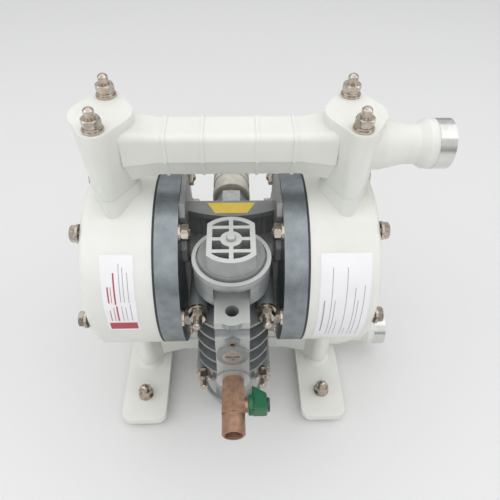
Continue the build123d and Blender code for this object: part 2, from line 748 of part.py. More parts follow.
with BuildPart() as valve_body:
    # back plate and the bosses of the studs
    with BuildSketch(Plane.XZ.offset(-valve_back_y)):
        with Locations((0, valve_z)):
            RectangleRounded(2 * valve_plate_half_x, 2 * valve_plate_half_z, valve_plate_corner)
    extrude(amount=valve_plate_t)
    with BuildSketch(Plane.XZ.offset(-valve_back_y)):
        with Locations(*stud_grid):
            Circle(boss_r)
    extrude(amount=valve_back_y - boss_end_y)
    # block between plate and barrel, and the webs that reach the bosses
    with BuildSketch(Plane.XZ.offset(-valve_back_y)):
        with Locations((0, valve_z)):
            Rectangle(2 * barrel_r, 2 * valve_plate_half_z)
            with GridLocations(0, 2 * stud_z, 1, 2):
                Rectangle(2 * stud_x, boss_web)
    extrude(amount=valve_back_y - spool_y)
    # upright barrel with its head and neck
    with BuildSketch(Plane((0, spool_y, 0), x_dir=(1, 0, 0), z_dir=(0, -1, 0))):
        with BuildLine():
            Polyline((0, cap_seat_z), (head_r, cap_seat_z), (head_r, valve_z + head_bottom),
                     (barrel_r, valve_z + head_bottom - head_slope), (barrel_r, valve_z - barrel_half),
                     (neck_end_r, valve_z - barrel_half - neck_slope), (neck_end_r, lower_seat_z),
                     (0, lower_seat_z), close=True)
        make_face()
    revolve(axis=spool_axis)
    # cooling fins with flat sides
    for i in range(fin_count):
        fin_z = valve_z + fin_shift + fin_pitch * (i - (fin_count - 1) / 2)
        with BuildSketch(Plane.XY.offset(fin_z - fin_t / 2)):
            with Locations((0, spool_y)):
                Circle(fin_r)
                Rectangle(2 * fin_side, 2 * fin_r, mode=Mode.INTERSECT)
            with Locations((0, valve_back_y - valve_plate_t / 2 + fin_r)):
                Rectangle(2 * fin_r, 2 * fin_r, mode=Mode.SUBTRACT)
        extrude(amount=fin_t)
    # inlet column, rounded at its lower end, with the pad on top
    with BuildSketch(Plane.XZ.offset(-spool_y)):
        with Locations((0, inlet_z)):
            Circle(column_half)
        with Locations((0, (inlet_z + pad_top_z) / 2)):
            Rectangle(2 * column_half, pad_top_z - inlet_z)
    extrude(amount=spool_y - valve_front_y)
    with BuildSketch(Plane.XY.offset(pad_top_z)):
        with Locations((0, pad_centre_y)):
            Circle(column_half)
    extrude(amount=-pad_t)
    with BuildSketch(Plane.YZ):
        with Locations((valve_front_y - undercut_out, pad_top_z - pad_t - undercut_r)):
            Circle(undercut_r)
    extrude(amount=column_half, both=True, mode=Mode.SUBTRACT)
    # notch in the head, that carries the pad's face further back
    with BuildSketch(Plane.XY.offset(pad_top_z)):
        with Locations((0, notch_back_y - head_r / 2)):
            Rectangle(2 * notch_half, head_r)
    extrude(amount=notch_top_z - pad_top_z, mode=Mode.SUBTRACT)
    # bosses of the inlet and of the two plugs
    for z, radius, end_y in ((inlet_z, inlet_boss_r, inlet_boss_y), (small_plug_z, small_boss_r, small_boss_y),
                             (large_plug_z, large_boss_r, large_boss_y)):
        with BuildSketch(Plane.XZ.offset(-spool_y)):
            with Locations((0, z)):
                Circle(radius)
        extrude(amount=spool_y - end_y)
    # bores: spool, inlet, plugs, pad and studs
    with BuildSketch(Plane.XY.offset(lower_seat_z)):
        with Locations((0, spool_y)):
            Circle(sleeve_r + face_gap)
    extrude(amount=cap_seat_z - lower_seat_z, mode=Mode.SUBTRACT)
    for start_z in (cap_seat_z - cap_seal_t, lower_seat_z):
        with BuildSketch(Plane.XY.offset(start_z)):
            with Locations((0, spool_y)):
                Circle(cap_seal_r + face_gap)
        extrude(amount=cap_seal_t, mode=Mode.SUBTRACT)
    with BuildSketch(Plane.XZ.offset(-inlet_boss_y)):
        with Locations((0, inlet_z)):
            Circle(inlet_bore_r)
    extrude(amount=-inlet_bore_depth, mode=Mode.SUBTRACT)
    for z, radius, end_y in ((small_plug_z, small_plug_r, small_boss_y), (large_plug_z, large_plug_r, large_boss_y)):
        with BuildSketch(Plane.XZ.offset(-end_y)):
            with Locations((0, z)):
                Circle(radius + face_gap)
        extrude(amount=-plug_depth, mode=Mode.SUBTRACT)
    with BuildSketch(Plane.XY.offset(pad_top_z)):
        with Locations((0, pad_centre_y)):
            Circle(pad_port_r)
    extrude(amount=-pad_port_depth, mode=Mode.SUBTRACT)
    with BuildSketch(Plane.XZ.offset(-boss_end_y)):
        with Locations(*stud_grid):
            Circle(thread_hole_r)
    extrude(amount=boss_end_y - valve_back_y, mode=Mode.SUBTRACT)
    # spot faces that clear the fins from the washers and nuts
    with BuildSketch(Plane.XZ.offset(-boss_end_y)):
        with Locations(*stud_grid):
            Circle(washer_r + spot_face_room)
    extrude(amount=spot_face_depth, mode=Mode.SUBTRACT)
save(valve_body, "valve_body")

with BuildPart() as small_plug:
    with BuildSketch(Plane.XZ.offset(plug_proud - small_boss_y)):
        with Locations((0, small_plug_z)):
            Circle(small_plug_r)
    extrude(amount=-plug_depth)
    with BuildSketch(Plane.XZ.offset(plug_proud - small_boss_y)):
        with Locations((0, small_plug_z)):
            RegularPolygon(small_socket / 2, 6, major_radius=False)
    extrude(amount=-plug_slot_depth, mode=Mode.SUBTRACT)
save(small_plug, "small_plug")

with BuildPart() as large_plug:
    with BuildSketch(Plane.XZ.offset(plug_proud - large_boss_y)):
        with Locations((0, large_plug_z)):
            Circle(large_plug_r)
    extrude(amount=-plug_depth)
    with BuildSketch(Plane.XZ.offset(plug_proud - large_boss_y)):
        with Locations((0, large_plug_z)):
            Rectangle(large_slot_length, large_slot)
            Rectangle(large_slot, large_slot_length)
    extrude(amount=-plug_slot_depth, mode=Mode.SUBTRACT)
save(large_plug, "large_plug")

# ---------------------------------------------------------------- caps of the spool's bore
with BuildPart() as upper_cap:
    with BuildSketch(Plane((0, spool_y, 0), x_dir=(1, 0, 0), z_dir=(0, -1, 0))):
        with BuildLine():
            Polyline((0, cap_seat_z - cap_spigot), (sleeve_r, cap_seat_z - cap_spigot), (sleeve_r, cap_seat_z),
                     (cap_flange_r, cap_seat_z), (cap_flange_r, cap_face_z), (cap_groove_r, cap_face_z),
                     (cap_groove_r, cap_face_z - cap_groove_depth),
                     (cap_groove_r - cap_groove_w, cap_face_z - cap_groove_depth),
                     (cap_groove_r - cap_groove_w, cap_face_z + cap_step), (0, cap_face_z + cap_step), close=True)
        make_face()
    revolve(axis=spool_axis)
    # block with flat sides, hollowed into a well with a grille
    with BuildSketch(Plane.XY.offset(cap_face_z)):
        with Locations((0, spool_y)):
            Circle(cap_block_r)
            Rectangle(2 * cap_block_half, 2 * cap_block_r, mode=Mode.INTERSECT)
    extrude(amount=cap_block_height)
    with BuildSketch(Plane.XY.offset(cap_face_z + cap_block_height)):
        with Locations((0, spool_y)):
            Circle(cap_block_r - cap_wall)
            Rectangle(2 * (cap_block_half - cap_wall), 2 * cap_block_r, mode=Mode.INTERSECT)
            Rectangle(cap_bar, 2 * cap_block_r, mode=Mode.SUBTRACT)
            with GridLocations(0, cap_bar_y, 1, 3):
                Rectangle(2 * cap_block_r, cap_bar, mode=Mode.SUBTRACT)
            Circle(cap_hub_r, mode=Mode.SUBTRACT)
    extrude(amount=-cap_well, mode=Mode.SUBTRACT)
    # button hole and the chamber of its collar
    with BuildSketch(Plane.XY.offset(cap_seat_z - cap_spigot)):
        with Locations((0, spool_y)):
            Circle(collar_room_r)
    extrude(amount=collar_room_top - cap_seat_z + cap_spigot, mode=Mode.SUBTRACT)
    with BuildSketch(Plane.XY.offset(collar_room_top)):
        with Locations((0, spool_y)):
            Circle(button_hole_r)
    extrude(amount=cap_block_height + cap_spigot, mode=Mode.SUBTRACT)
save(upper_cap, "upper_cap")

with BuildPart() as lower_cap:
    # hub with its spigot closes the bore
    with BuildSketch(Plane.XY.offset(lower_seat_z - cap_flange_t)):
        with Locations((0, spool_y)):
            Circle(neck_end_r)
    extrude(amount=cap_flange_t)
    with BuildSketch(Plane.XY.offset(lower_seat_z)):
        with Locations((0, spool_y)):
            Circle(sleeve_r)
    extrude(amount=cap_spigot)
    # open flange ring on spokes
    with BuildSketch(Plane.XY.offset(lower_seat_z - cap_flange_t)):
        with Locations((0, spool_y)):
            Circle(cap_flange_r)
            Circle(lower_ring_bore, mode=Mode.SUBTRACT)
            Rectangle(lower_spoke, 2 * lower_ring_r)
            Rectangle(2 * lower_ring_r, lower_spoke)
    extrude(amount=cap_flange_t)
    # wall with flat sides under the ring
    with BuildSketch(Plane.XY.offset(lower_seat_z - cap_flange_t)):
        with Locations((0, spool_y)):
            Circle(cap_block_r)
            Rectangle(2 * cap_block_half, 2 * cap_block_r, mode=Mode.INTERSECT)
            Circle(cap_block_r - cap_wall, mode=Mode.SUBTRACT)
    extrude(amount=-cap_block_height)
save(lower_cap, "lower_cap")

with BuildPart() as cap_seals:
    for start_z in (cap_seat_z - cap_seal_t, lower_seat_z):
        with BuildSketch(Plane.XY.offset(start_z)):
            with Locations((0, spool_y)):
                Circle(cap_seal_r)
                Circle(sleeve_r + face_gap, mode=Mode.SUBTRACT)
        extrude(amount=cap_seal_t)
save(cap_seals, "cap_seals")

sleeve_start_z = lower_seat_z + cap_spigot
sleeve_end_z = cap_seat_z - cap_spigot
with BuildPart() as valve_sleeve:
    with BuildSketch(Plane.XY.offset(sleeve_start_z)):
        with Locations((0, spool_y)):
            Circle(sleeve_r)
            Circle(spool_r + running_gap, mode=Mode.SUBTRACT)
    extrude(amount=sleeve_end_z - sleeve_start_z)
    for z in sleeve_port_z:
        for turn_axis in (Plane.XZ.offset(-spool_y), Plane.YZ):
            with BuildSketch(turn_axis):
                with Locations((0 if turn_axis.z_dir.Y else spool_y, z)):
                    Circle(sleeve_port_r)
            extrude(amount=sleeve_r, both=True, mode=Mode.SUBTRACT)
save(valve_sleeve, "valve_sleeve")

spool_start_z = sleeve_start_z + spool_rest_gap
spool_waist = (spool_length - spool_lands * spool_land) / (spool_lands - 1)
with BuildPart() as spool:
    with BuildSketch(Plane.XY.offset(spool_start_z)):
        with Locations((0, spool_y)):
            Circle(spool_waist_r)
    extrude(amount=spool_length)
    for i in range(spool_lands):
        with BuildSketch(Plane.XY.offset(spool_start_z + i * (spool_land + spool_waist))):
            with Locations((0, spool_y)):
                Circle(spool_r)
        extrude(amount=spool_land)
save(spool, "spool")

button_top_z = cap_face_z + cap_block_height + button_proud
with BuildPart() as reset_button:
    with BuildSketch(Plane((0, spool_y, 0), x_dir=(1, 0, 0), z_dir=(0, -1, 0))):
        with BuildLine():
            Polyline((0, collar_top_z - collar_t - nose_length), (button_r, collar_top_z - collar_t - nose_length),
                     (button_r, collar_top_z - collar_t), (collar_r, collar_top_z - collar_t),
                     (collar_r, collar_top_z), (button_r, collar_top_z), (button_r, button_top_z - button_chamfer),
                     (button_r - button_chamfer, button_top_z), (0, button_top_z), close=True)
        make_face()
    revolve(axis=spool_axis)
save(reset_button, "reset_button")

spring_start_z = sleeve_end_z + spring_wire
spring_height = collar_top_z - collar_t - sleeve_end_z - 2 * spring_wire
with BuildPart() as reset_spring:
    with BuildLine(Plane((0, spool_y, spring_start_z))) as spring_path:
        Helix(pitch=spring_height / spring_turns, height=spring_height, radius=spring_r)
    with BuildSketch(spring_path.line ^ 0):
        Circle(spring_wire)
    sweep(path=spring_path.line, is_frenet=True)
save(reset_spring, "reset_spring")

# ---------------------------------------------------------------- shut-off valve on the air inlet
with BuildPart() as shutoff_body:
    neck_start_y = inlet_boss_y + inlet_bore_depth - face_gap
    with BuildSketch(Plane.XZ.offset(-neck_start_y)):
        with Locations((0, inlet_z)):
            Circle(inlet_bore_r - face_gap)
    extrude(amount=neck_start_y - nipple_end_y)
    with BuildSketch(Plane.XZ.offset(-inlet_boss_y)):
        with Locations((0, inlet_z)):
            RegularPolygon(nipple_flats / 2, 6, major_radius=False)
    extrude(amount=inlet_boss_y - nipple_end_y)
    with BuildSketch(Plane.XZ.offset(-nipple_end_y)):
        with Locations((0, inlet_z)):
            RegularPolygon(shut_hex_flats / 2, 6, rotation=hex_turn, major_radius=False)
    extrude(amount=nipple_end_y - shut_body_end_y)
    # boss of the stem
    with BuildSketch(Plane((0, shut_axis_y, inlet_z), x_dir=(0, 1, 0), z_dir=(1, 0, 0))):
        Circle(shut_boss_r)
    extrude(amount=shut_boss_x)
    # air way, ball chamber and stem hole
    with BuildSketch(Plane.XZ.offset(-neck_start_y)):
        with Locations((0, inlet_z)):
            Circle(shut_bore_r)
    extrude(amount=neck_start_y - shut_body_end_y, mode=Mode.SUBTRACT)
    with BuildSketch(Plane.XZ.offset(-shut_body_end_y)):
        with Locations((0, inlet_z)):
            Circle(shut_cavity_r)
    extrude(amount=shut_body_end_y - chamber_back_y, mode=Mode.SUBTRACT)
    with BuildSketch(Plane((0, shut_axis_y, inlet_z), x_dir=(0, 1, 0), z_dir=(1, 0, 0))):
        Circle(shut_stem_r + running_gap)
    extrude(amount=shut_boss_x, mode=Mode.SUBTRACT)
save(shutoff_body, "shutoff_body")

with BuildPart() as shutoff_end:
    with BuildSketch(Plane((0, 0, inlet_z), x_dir=(0, 1, 0), z_dir=(1, 0, 0))):
        with BuildLine():
            Polyline((shut_end_y, shut_thread_r), (shut_end_y, shut_end_r - shut_end_chamfer),
                     (shut_end_y + shut_end_chamfer, shut_end_r), (shut_body_end_y, shut_end_r),
                     (shut_body_end_y, shut_cavity_r - face_gap), (seat_front_y - shut_seat_t, shut_cavity_r - face_gap),
                     (seat_front_y - shut_seat_t, shut_bore_r), (shut_end_y + shut_thread_depth, shut_bore_r),
                     (shut_end_y + shut_thread_depth, shut_thread_r), close=True)
        make_face()
    revolve(axis=inlet_axis)
save(shutoff_end, "shutoff_end")

with BuildPart() as shutoff_seats:
    for start_y in (shut_axis_y + shut_seat_gap + shut_seat_t, shut_axis_y - shut_seat_gap):
        with BuildSketch(Plane.XZ.offset(-start_y)):
            with Locations((0, inlet_z)):
                Circle(shut_cavity_r)
                Circle(shut_bore_r, mode=Mode.SUBTRACT)
        extrude(amount=shut_seat_t)
save(shutoff_seats, "shutoff_seats")

with BuildPart() as shutoff_ball:
    # sphere with its bore, turned about the air way
    bore_half = sqrt(shut_ball_r**2 - shut_bore_r**2)
    with BuildSketch(Plane((0, 0, inlet_z), x_dir=(0, 1, 0), z_dir=(1, 0, 0))):
        with BuildLine():
            ThreePointArc((shut_axis_y - bore_half, shut_bore_r), (shut_axis_y, shut_ball_r),
                          (shut_axis_y + bore_half, shut_bore_r))
            Line((shut_axis_y + bore_half, shut_bore_r), (shut_axis_y - bore_half, shut_bore_r))
        make_face()
    revolve(axis=inlet_axis)
    with BuildSketch(Plane((tang_x, shut_axis_y, inlet_z), x_dir=(0, 1, 0), z_dir=(1, 0, 0))):
        Rectangle(tang_slot, 2 * shut_ball_r)
    extrude(amount=shut_ball_r, mode=Mode.SUBTRACT)
save(shutoff_ball, "shutoff_ball")

with BuildPart() as shutoff_stem:
    with BuildSketch(Plane((tang_x + tang_length, shut_axis_y, inlet_z), x_dir=(0, 1, 0), z_dir=(1, 0, 0))):
        Circle(shut_stem_r)
    extrude(amount=shut_stem_x - tang_x - tang_length)
    with BuildSketch(Plane((tang_x + tang_room, shut_axis_y, inlet_z), x_dir=(0, 1, 0), z_dir=(1, 0, 0))):
        Circle(shut_stem_r)
        Rectangle(tang_slot - 2 * tang_room, 2 * shut_stem_r, mode=Mode.INTERSECT)
    extrude(amount=tang_length - tang_room)
save(shutoff_stem, "shutoff_stem")

with BuildPart() as shutoff_lever:
    lever_start = Plane((shut_boss_x + lever_gap, shut_axis_y, inlet_z), x_dir=(0, 1, 0), z_dir=(1, 0, 0))
    with BuildSketch(lever_start):
        Circle(lever_hub_r)
    extrude(amount=lever_hub_t)
    with BuildSketch(lever_start.offset(lever_hub_t - lever_overlap)):
        with BuildLine():
            ThreePointArc((0, lever_half), (-lever_front, 0), (0, -lever_half))
            Polyline((0, -lever_half), (lever_back - lever_tip, -lever_half + lever_slim))
            ThreePointArc((lever_back - lever_tip, -lever_half + lever_slim), (lever_back, 0),
                          (lever_back - lever_tip, lever_half - lever_slim))
            Line((lever_back - lever_tip, lever_half - lever_slim), (0, lever_half))
        make_face()
    extrude(amount=lever_x - shut_boss_x - lever_gap - lever_hub_t + lever_overlap)
    with BuildSketch(lever_start):
        Circle(shut_stem_r)
    extrude(amount=lever_x, mode=Mode.SUBTRACT)
save(shutoff_lever, "shutoff_lever")

with BuildPart() as lever_screw:
    with BuildSketch(Plane((lever_x, shut_axis_y, inlet_z), x_dir=(0, 1, 0), z_dir=(1, 0, 0))):
        Circle(lever_cap_r)
    extrude(amount=lever_cap_t)
    chamfer(lever_screw.faces().sort_by(Axis.X)[-1].edges(), lever_cap_chamfer)
save(lever_screw, "lever_screw")

# ---------------------------------------------------------------- exhaust silencer
with BuildPart() as exhaust_bushing:
    with BuildSketch(Plane.XZ.offset(-bushing_root_y)):
        with Locations((0, exhaust_z)):
            Circle(bushing_neck_r)
    extrude(amount=bushing_root_y - exhaust_boss_y)
    with BuildSketch(Plane.XZ.offset(-exhaust_boss_y)):
        with Locations((0, exhaust_z)):
            RegularPolygon(bushing_flats / 2, 6, major_radius=False)
    extrude(amount=-bushing_length)
    with BuildSketch(Plane.XZ.offset(-bushing_root_y)):
        with Locations((0, exhaust_z)):
            Circle(exhaust_bore_r)
    extrude(amount=bushing_root_y - bushing_end_y, mode=Mode.SUBTRACT)
    with BuildSketch(Plane.XZ.offset(-bushing_end_y)):
        with Locations((0, exhaust_z)):
            Circle(silencer_neck_r + face_gap)
    extrude(amount=bushing_end_y - silencer_neck_y, mode=Mode.SUBTRACT)
save(exhaust_bushing, "exhaust_bushing")

silencer_end_y = silencer_start_y + silencer_length
rib_count = int((silencer_length - silencer_rim) / silencer_pitch)
with BuildPart() as silencer_body:
    with BuildSketch(Plane.XZ.offset(-silencer_start_y)):
        with Locations((0, exhaust_z)):
            Circle(silencer_groove_r)
    extrude(amount=-silencer_length)
    with BuildSketch(Plane.XZ.offset(-silencer_start_y)):
        with Locations((0, exhaust_z)):
            Circle(silencer_r)
    extrude(amount=-silencer_rim)
    for i in range(rib_count):
        with BuildSketch(Plane.XZ.offset(-silencer_end_y + i * silencer_pitch)):
            with Locations((0, exhaust_z)):
                Circle(silencer_r)
        extrude(amount=silencer_rib)
    with BuildSketch(Plane.XZ.offset(-silencer_start_y)):
        with Locations((0, exhaust_z)):
            Circle(silencer_cup_r)
    extrude(amount=-silencer_cup, mode=Mode.SUBTRACT)
    with BuildSketch(Plane.XZ.offset(-silencer_neck_y - face_gap)):
        with Locations((0, exhaust_z)):
            Circle(silencer_neck_r)
    extrude(amount=silencer_neck_y - silencer_start_y - silencer_rim)
    with BuildSketch(Plane.XZ.offset(-silencer_start_y - silencer_rim - silencer_wall)):
        with Locations((0, exhaust_z)):
            Circle(silencer_groove_r - silencer_wall)
    extrude(amount=silencer_rim + 2 * silencer_wall - silencer_length, mode=Mode.SUBTRACT)
    with BuildSketch(Plane.XZ.offset(-silencer_neck_y)):
        with Locations((0, exhaust_z)):
            Circle(silencer_hole_r)
    extrude(amount=silencer_neck_y - silencer_start_y - silencer_rim - silencer_wall, mode=Mode.SUBTRACT)
save(silencer_body, "silencer_body")

with BuildPart() as silencer_core:
    with BuildSketch(Plane.XZ.offset(-silencer_start_y - silencer_rim - silencer_wall)):
        with Locations((0, exhaust_z)):
            Circle(silencer_core_r)
            Circle(silencer_hole_r, mode=Mode.SUBTRACT)
    extrude(amount=silencer_rim + 2 * silencer_wall - silencer_length)
save(silencer_core, "silencer_core")

# ---------------------------------------------------------------- manifolds
def tube_section(x, up, grow):
    """Outline of the cross tube at x, its flat side up or down, grown about the port axis."""
    half = [(tube_half, tube_up), (tube_half, -tube_shelf), (tube_half - tube_ledge, -tube_shelf),
            (tube_keel, -tube_down)]
    around = half + [(-y, z) for y, z in reversed(half)]
    with BuildSketch(Plane((x, 0, rod_z + up * port_rise), x_dir=(0, 1, 0), z_dir=(1, 0, 0))) as section:
        with BuildLine():
            Polyline(*[(y * grow, z * grow * up) for y, z in around], close=True)
        make_face()
        fillet(section.vertices().group_by(Axis.Y)[-1 if up > 0 else 0], tube_corner * grow)
    return section.sketch


for name, up in ups.items():
    port_z = rod_z + up * port_rise
    joint_z = rod_z + up * joint_rise
    with BuildPart() as manifold:
        # valve columns, narrowing towards the chambers
        for side in sides.values():
            with BuildSketch(Plane((side * column_x, 0, joint_z), x_dir=(1, 0, 0), z_dir=(0, 0, up))):
                Circle(column_r - joint_shrink)
                with GridLocations(0, 2 * stud_y, 1, 2):
                    Circle(ear_r - joint_shrink)
                make_hull()
            extrude(amount=column_top_rise - joint_rise, taper=-column_taper)
        # cross tube, flaring into the columns
        add(extrude(tube_section(-flare_start, up, 1), amount=2 * flare_start, mode=Mode.PRIVATE))
        for side in sides.values():
            add(loft([tube_section(side * flare_start, up, 1), tube_section(side * flare_end, up, tube_flare)],
                     mode=Mode.PRIVATE))
            for x in rib_x:
                add(extrude(tube_section(side * x, up, rib_growth), amount=side * rib_width, mode=Mode.PRIVATE))
        # port stub
        with BuildSketch(Plane.XZ):
            with BuildLine():
                Polyline((column_x, port_z), (column_x, port_z + port_root_r),
                         (column_x + column_r, port_z + port_root_r), (port_waist_start, port_z + port_waist_r),
                         (port_waist_end, port_z + port_waist_r), (port_collar_start, port_z + port_collar_r),
                         (ring_x, port_z + port_collar_r), (ring_x, port_z + port_boss_r),
                         (port_end_x, port_z + port_boss_r), (port_end_x, port_z), close=True)
            make_face()
        revolve(axis=Axis((0, 0, port_z), (1, 0, 0)))
        if up < 0:
            # feet, with a slope up to the columns
            with BuildSketch(Plane.XY.offset(foot_bottom_z)):
                with GridLocations(2 * column_x, 0, 2, 1):
                    RectangleRounded(2 * foot_half_x, 2 * foot_half_y, foot_corner)
            extrude(amount=foot_top_z - foot_bottom_z)
            for side in sides.values():
                with BuildSketch(Plane((side * column_x, 0, foot_top_z), x_dir=(1, 0, 0), z_dir=(0, 0, 1))):
                    with GridLocations(0, 2 * stud_y, 1, 2):
                        Circle(ear_r + foot_blend)
                    make_hull()
                extrude(amount=foot_blend, taper=foot_blend_angle)
            with BuildSketch(Plane.XY.offset(foot_bottom_z)):
                with GridLocations(2 * column_x, 2 * foot_stud_y, 2, 2):
                    Circle(thread_hole_r)
            extrude(amount=foot_top_z - foot_bottom_z, mode=Mode.SUBTRACT)
            with BuildSketch(Plane.XY.offset(foot_bottom_z)):
                with GridLocations(2 * column_x, 2 * stud_y, 2, 2):
                    Circle(nut_pocket_r)
            extrude(amount=nut_pocket_top - foot_bottom_z, mode=Mode.SUBTRACT)
        # ways of the liquid
        with BuildSketch(Plane.YZ.offset(-column_x)):
            with Locations((0, port_z)):
                Circle(flow_r)
        extrude(amount=column_x + port_end_x, mode=Mode.SUBTRACT)
        with BuildSketch(Plane.YZ.offset(port_end_x)):
            with Locations((0, port_z)):
                Circle(port_thread_r)
        extrude(amount=-port_thread_depth, mode=Mode.SUBTRACT)
        joint_plane = Plane((0, 0, joint_z), x_dir=(1, 0, 0), z_dir=(0, 0, up))
        with BuildSketch(joint_plane):
            with GridLocations(2 * column_x, 0, 2, 1):
                Circle(flow_r)
        extrude(amount=port_rise - joint_rise, mode=Mode.SUBTRACT)
        if up > 0:
            with BuildSketch(joint_plane):
                with GridLocations(2 * column_x, 0, 2, 1):
                    Circle(seat_bore)
            extrude(amount=cage_height, mode=Mode.SUBTRACT)
        # groove of the O-ring and holes of the studs
        with BuildSketch(joint_plane):
            with GridLocations(2 * column_x, 0, 2, 1):
                Circle(o_ring_centre_r + o_ring_r)
                Circle(o_ring_centre_r - o_ring_r, mode=Mode.SUBTRACT)
        extrude(amount=2 * o_ring_r, mode=Mode.SUBTRACT)
        with BuildSketch(joint_plane):
            with GridLocations(2 * column_x, 2 * stud_y, 2, 2):
                Circle(thread_hole_r)
        extrude(amount=column_top_rise, mode=Mode.SUBTRACT)
    save(manifold, f"{name}_manifold")

for name, up in (("port_ring_upper", 1), ("port_ring_lower", -1)):
    with BuildPart() as port_ring:
        with BuildSketch(Plane.YZ.offset(ring_x)):
            with Locations((0, rod_z + up * port_rise)):
                Circle(port_boss_r + ring_wall)
                Circle(port_boss_r, mode=Mode.SUBTRACT)
        extrude(amount=ring_width)
    save(port_ring, name)

# ---------------------------------------------------------------- check valves
seat_levels = {1: rod_z + joint_rise - seat_height, -1: rod_z - joint_rise}
with BuildPart() as valve_seats:
    for z in seat_levels.values():
        with BuildSketch(Plane.XY.offset(z)):
            with GridLocations(2 * column_x, 0, 2, 1):
                Circle(seat_r)
                Circle(seat_bore_r, mode=Mode.SUBTRACT)
        extrude(amount=seat_height)
save(valve_seats, "valve_seats")

with BuildPart() as seat_o_rings:
    for up in ups.values():
        with Locations((0, 0, rod_z + up * (joint_rise + o_ring_r))):
            with GridLocations(2 * column_x, 0, 2, 1):
                Torus(o_ring_centre_r, o_ring_r - face_gap)
save(seat_o_rings, "seat_o_rings")

with BuildPart() as ball_cages:
    for z in seat_levels.values():
        cage_z = z + seat_height
        with BuildSketch(Plane.XY.offset(cage_z)):
            with GridLocations(2 * column_x, 0, 2, 1):
                Circle(seat_r)
        extrude(amount=cage_height)
        with BuildSketch(Plane.XY.offset(cage_z)):
            with GridLocations(2 * column_x, 0, 2, 1):
                Circle(cage_bore_r)
        extrude(amount=cage_height - cage_roof, mode=Mode.SUBTRACT)
        with BuildSketch(Plane.XY.offset(cage_z + cage_base)):
            with GridLocations(2 * column_x, 0, 2, 1):
                with PolarLocations(seat_r, cage_posts):
                    Rectangle(cage_window, cage_window)
        extrude(amount=cage_height - cage_roof - cage_base, mode=Mode.SUBTRACT)
        with BuildSketch(Plane.XY.offset(cage_z + cage_height - cage_roof)):
            with GridLocations(2 * column_x, 0, 2, 1):
                Circle(cage_hole_r)
        extrude(amount=cage_roof, mode=Mode.SUBTRACT)
save(ball_cages, "ball_cages")

for name, up in ups.items():
    for side_name, side in sides.items():
        with BuildPart() as check_ball:
            with Locations((side * column_x, 0, seat_levels[up] + seat_height + ball_rest)):
                Sphere(ball_r)
        save(check_ball, f"{name}_ball_{side_name}")

# ---------------------------------------------------------------- studs, nuts, washers and bolts
stud_seat = {1: rod_z + column_top_rise, -1: nut_pocket_top}
manifold_tip = {1: stud_tip, -1: lower_stud_tip}
with BuildPart() as manifold_studs:
    for up in ups.values():
        root_z = rod_z + up * (joint_rise - stud_root)
        tip_z = stud_seat[up] + up * (washer_stack + nut_height + manifold_tip[up])
        stud = domed_rod(thread_r, abs(tip_z - root_z))
        with Locations(Plane((0, 0, root_z), x_dir=(1, 0, 0), z_dir=(0, 0, up))):
            with GridLocations(2 * column_x, 2 * stud_y, 2, 2):
                add(stud)
save(manifold_studs, "manifold_studs")

with BuildPart() as manifold_washers:
    for up in ups.values():
        with Locations(Plane((0, 0, stud_seat[up]), x_dir=(1, 0, 0), z_dir=(0, 0, up))):
            with GridLocations(2 * column_x, 2 * stud_y, 2, 2):
                add(washers)
save(manifold_washers, "manifold_washers")

with BuildPart() as manifold_nuts:
    for up in ups.values():
        with Locations(Plane((0, 0, stud_seat[up] + up * washer_stack), x_dir=(1, 0, 0), z_dir=(0, 0, up))):
            with GridLocations(2 * column_x, 2 * stud_y, 2, 2):
                add(nut)
save(manifold_nuts, "manifold_nuts")

with BuildPart() as chamber_bolts:
    head = hex_nut(nut_flats, head_height, 0)
    shank_length = fluid_end_x + washer_t - air_face_x + washer_t + nut_height + bolt_tip
    shank = domed_rod(thread_r, shank_length)
    for side in sides.values():
        for x, y, z in bolt_places(side * (fluid_end_x + washer_t)):
            with Locations(Plane((x, y, z), x_dir=(0, 1, 0), z_dir=(side, 0, 0))):
                add(head)
            with Locations(Plane((x, y, z), x_dir=(0, 1, 0), z_dir=(-side, 0, 0))):
                add(shank)
save(chamber_bolts, "chamber_bolts")

with BuildPart() as chamber_washers:
    washer = plain_washer(thread_hole_r)
    for side in sides.values():
        for x, y, z in bolt_places(side * fluid_end_x) + bolt_places(side * (air_face_x - washer_t)):
            with Locations(Plane((x, y, z), x_dir=(0, 1, 0), z_dir=(side, 0, 0))):
                add(washer)
save(chamber_washers, "chamber_washers")

with BuildPart() as chamber_nuts:
    for side in sides.values():
        for x, y, z in bolt_places(side * (air_face_x - washer_t - nut_height)):
            with Locations(Plane((x, y, z), x_dir=(0, 1, 0), z_dir=(side, 0, 0))):
                add(nut)
save(chamber_nuts, "chamber_nuts")

valve_stud_start = body_front_y + valve_stud_root
with BuildPart() as valve_studs:
    stud = domed_rod(thread_r, valve_stud_start - boss_end_y + washer_stack + nut_height + valve_stud_tip)
    with Locations(*[Plane((x, valve_stud_start, z), x_dir=(1, 0, 0), z_dir=(0, -1, 0)) for x, z in stud_grid]):
        add(stud)
save(valve_studs, "valve_studs")

with BuildPart() as valve_washers:
    with Locations(*[Plane((x, boss_end_y, z), x_dir=(1, 0, 0), z_dir=(0, -1, 0)) for x, z in stud_grid]):
        add(washers)
save(valve_washers, "valve_washers")

with BuildPart() as valve_nuts:
    with Locations(*[Plane((x, boss_end_y - washer_stack, z), x_dir=(1, 0, 0), z_dir=(0, -1, 0))
                     for x, z in stud_grid]):
        add(nut)
save(valve_nuts, "valve_nuts")

# ---------------------------------------------------------------- rubber cushions and their studs
with BuildPart() as foot_cushions:
    with BuildSketch():
        with GridLocations(2 * column_x, 2 * foot_stud_y, 2, 2):
            Circle(cushion_r)
    extrude(amount=foot_bottom_z)
    with BuildSketch(Plane.XY.offset(foot_stud_root)):
        with GridLocations(2 * column_x, 2 * foot_stud_y, 2, 2):
            Circle(thread_r)
    extrude(amount=foot_bottom_z, mode=Mode.SUBTRACT)
save(foot_cushions, "foot_cushions")

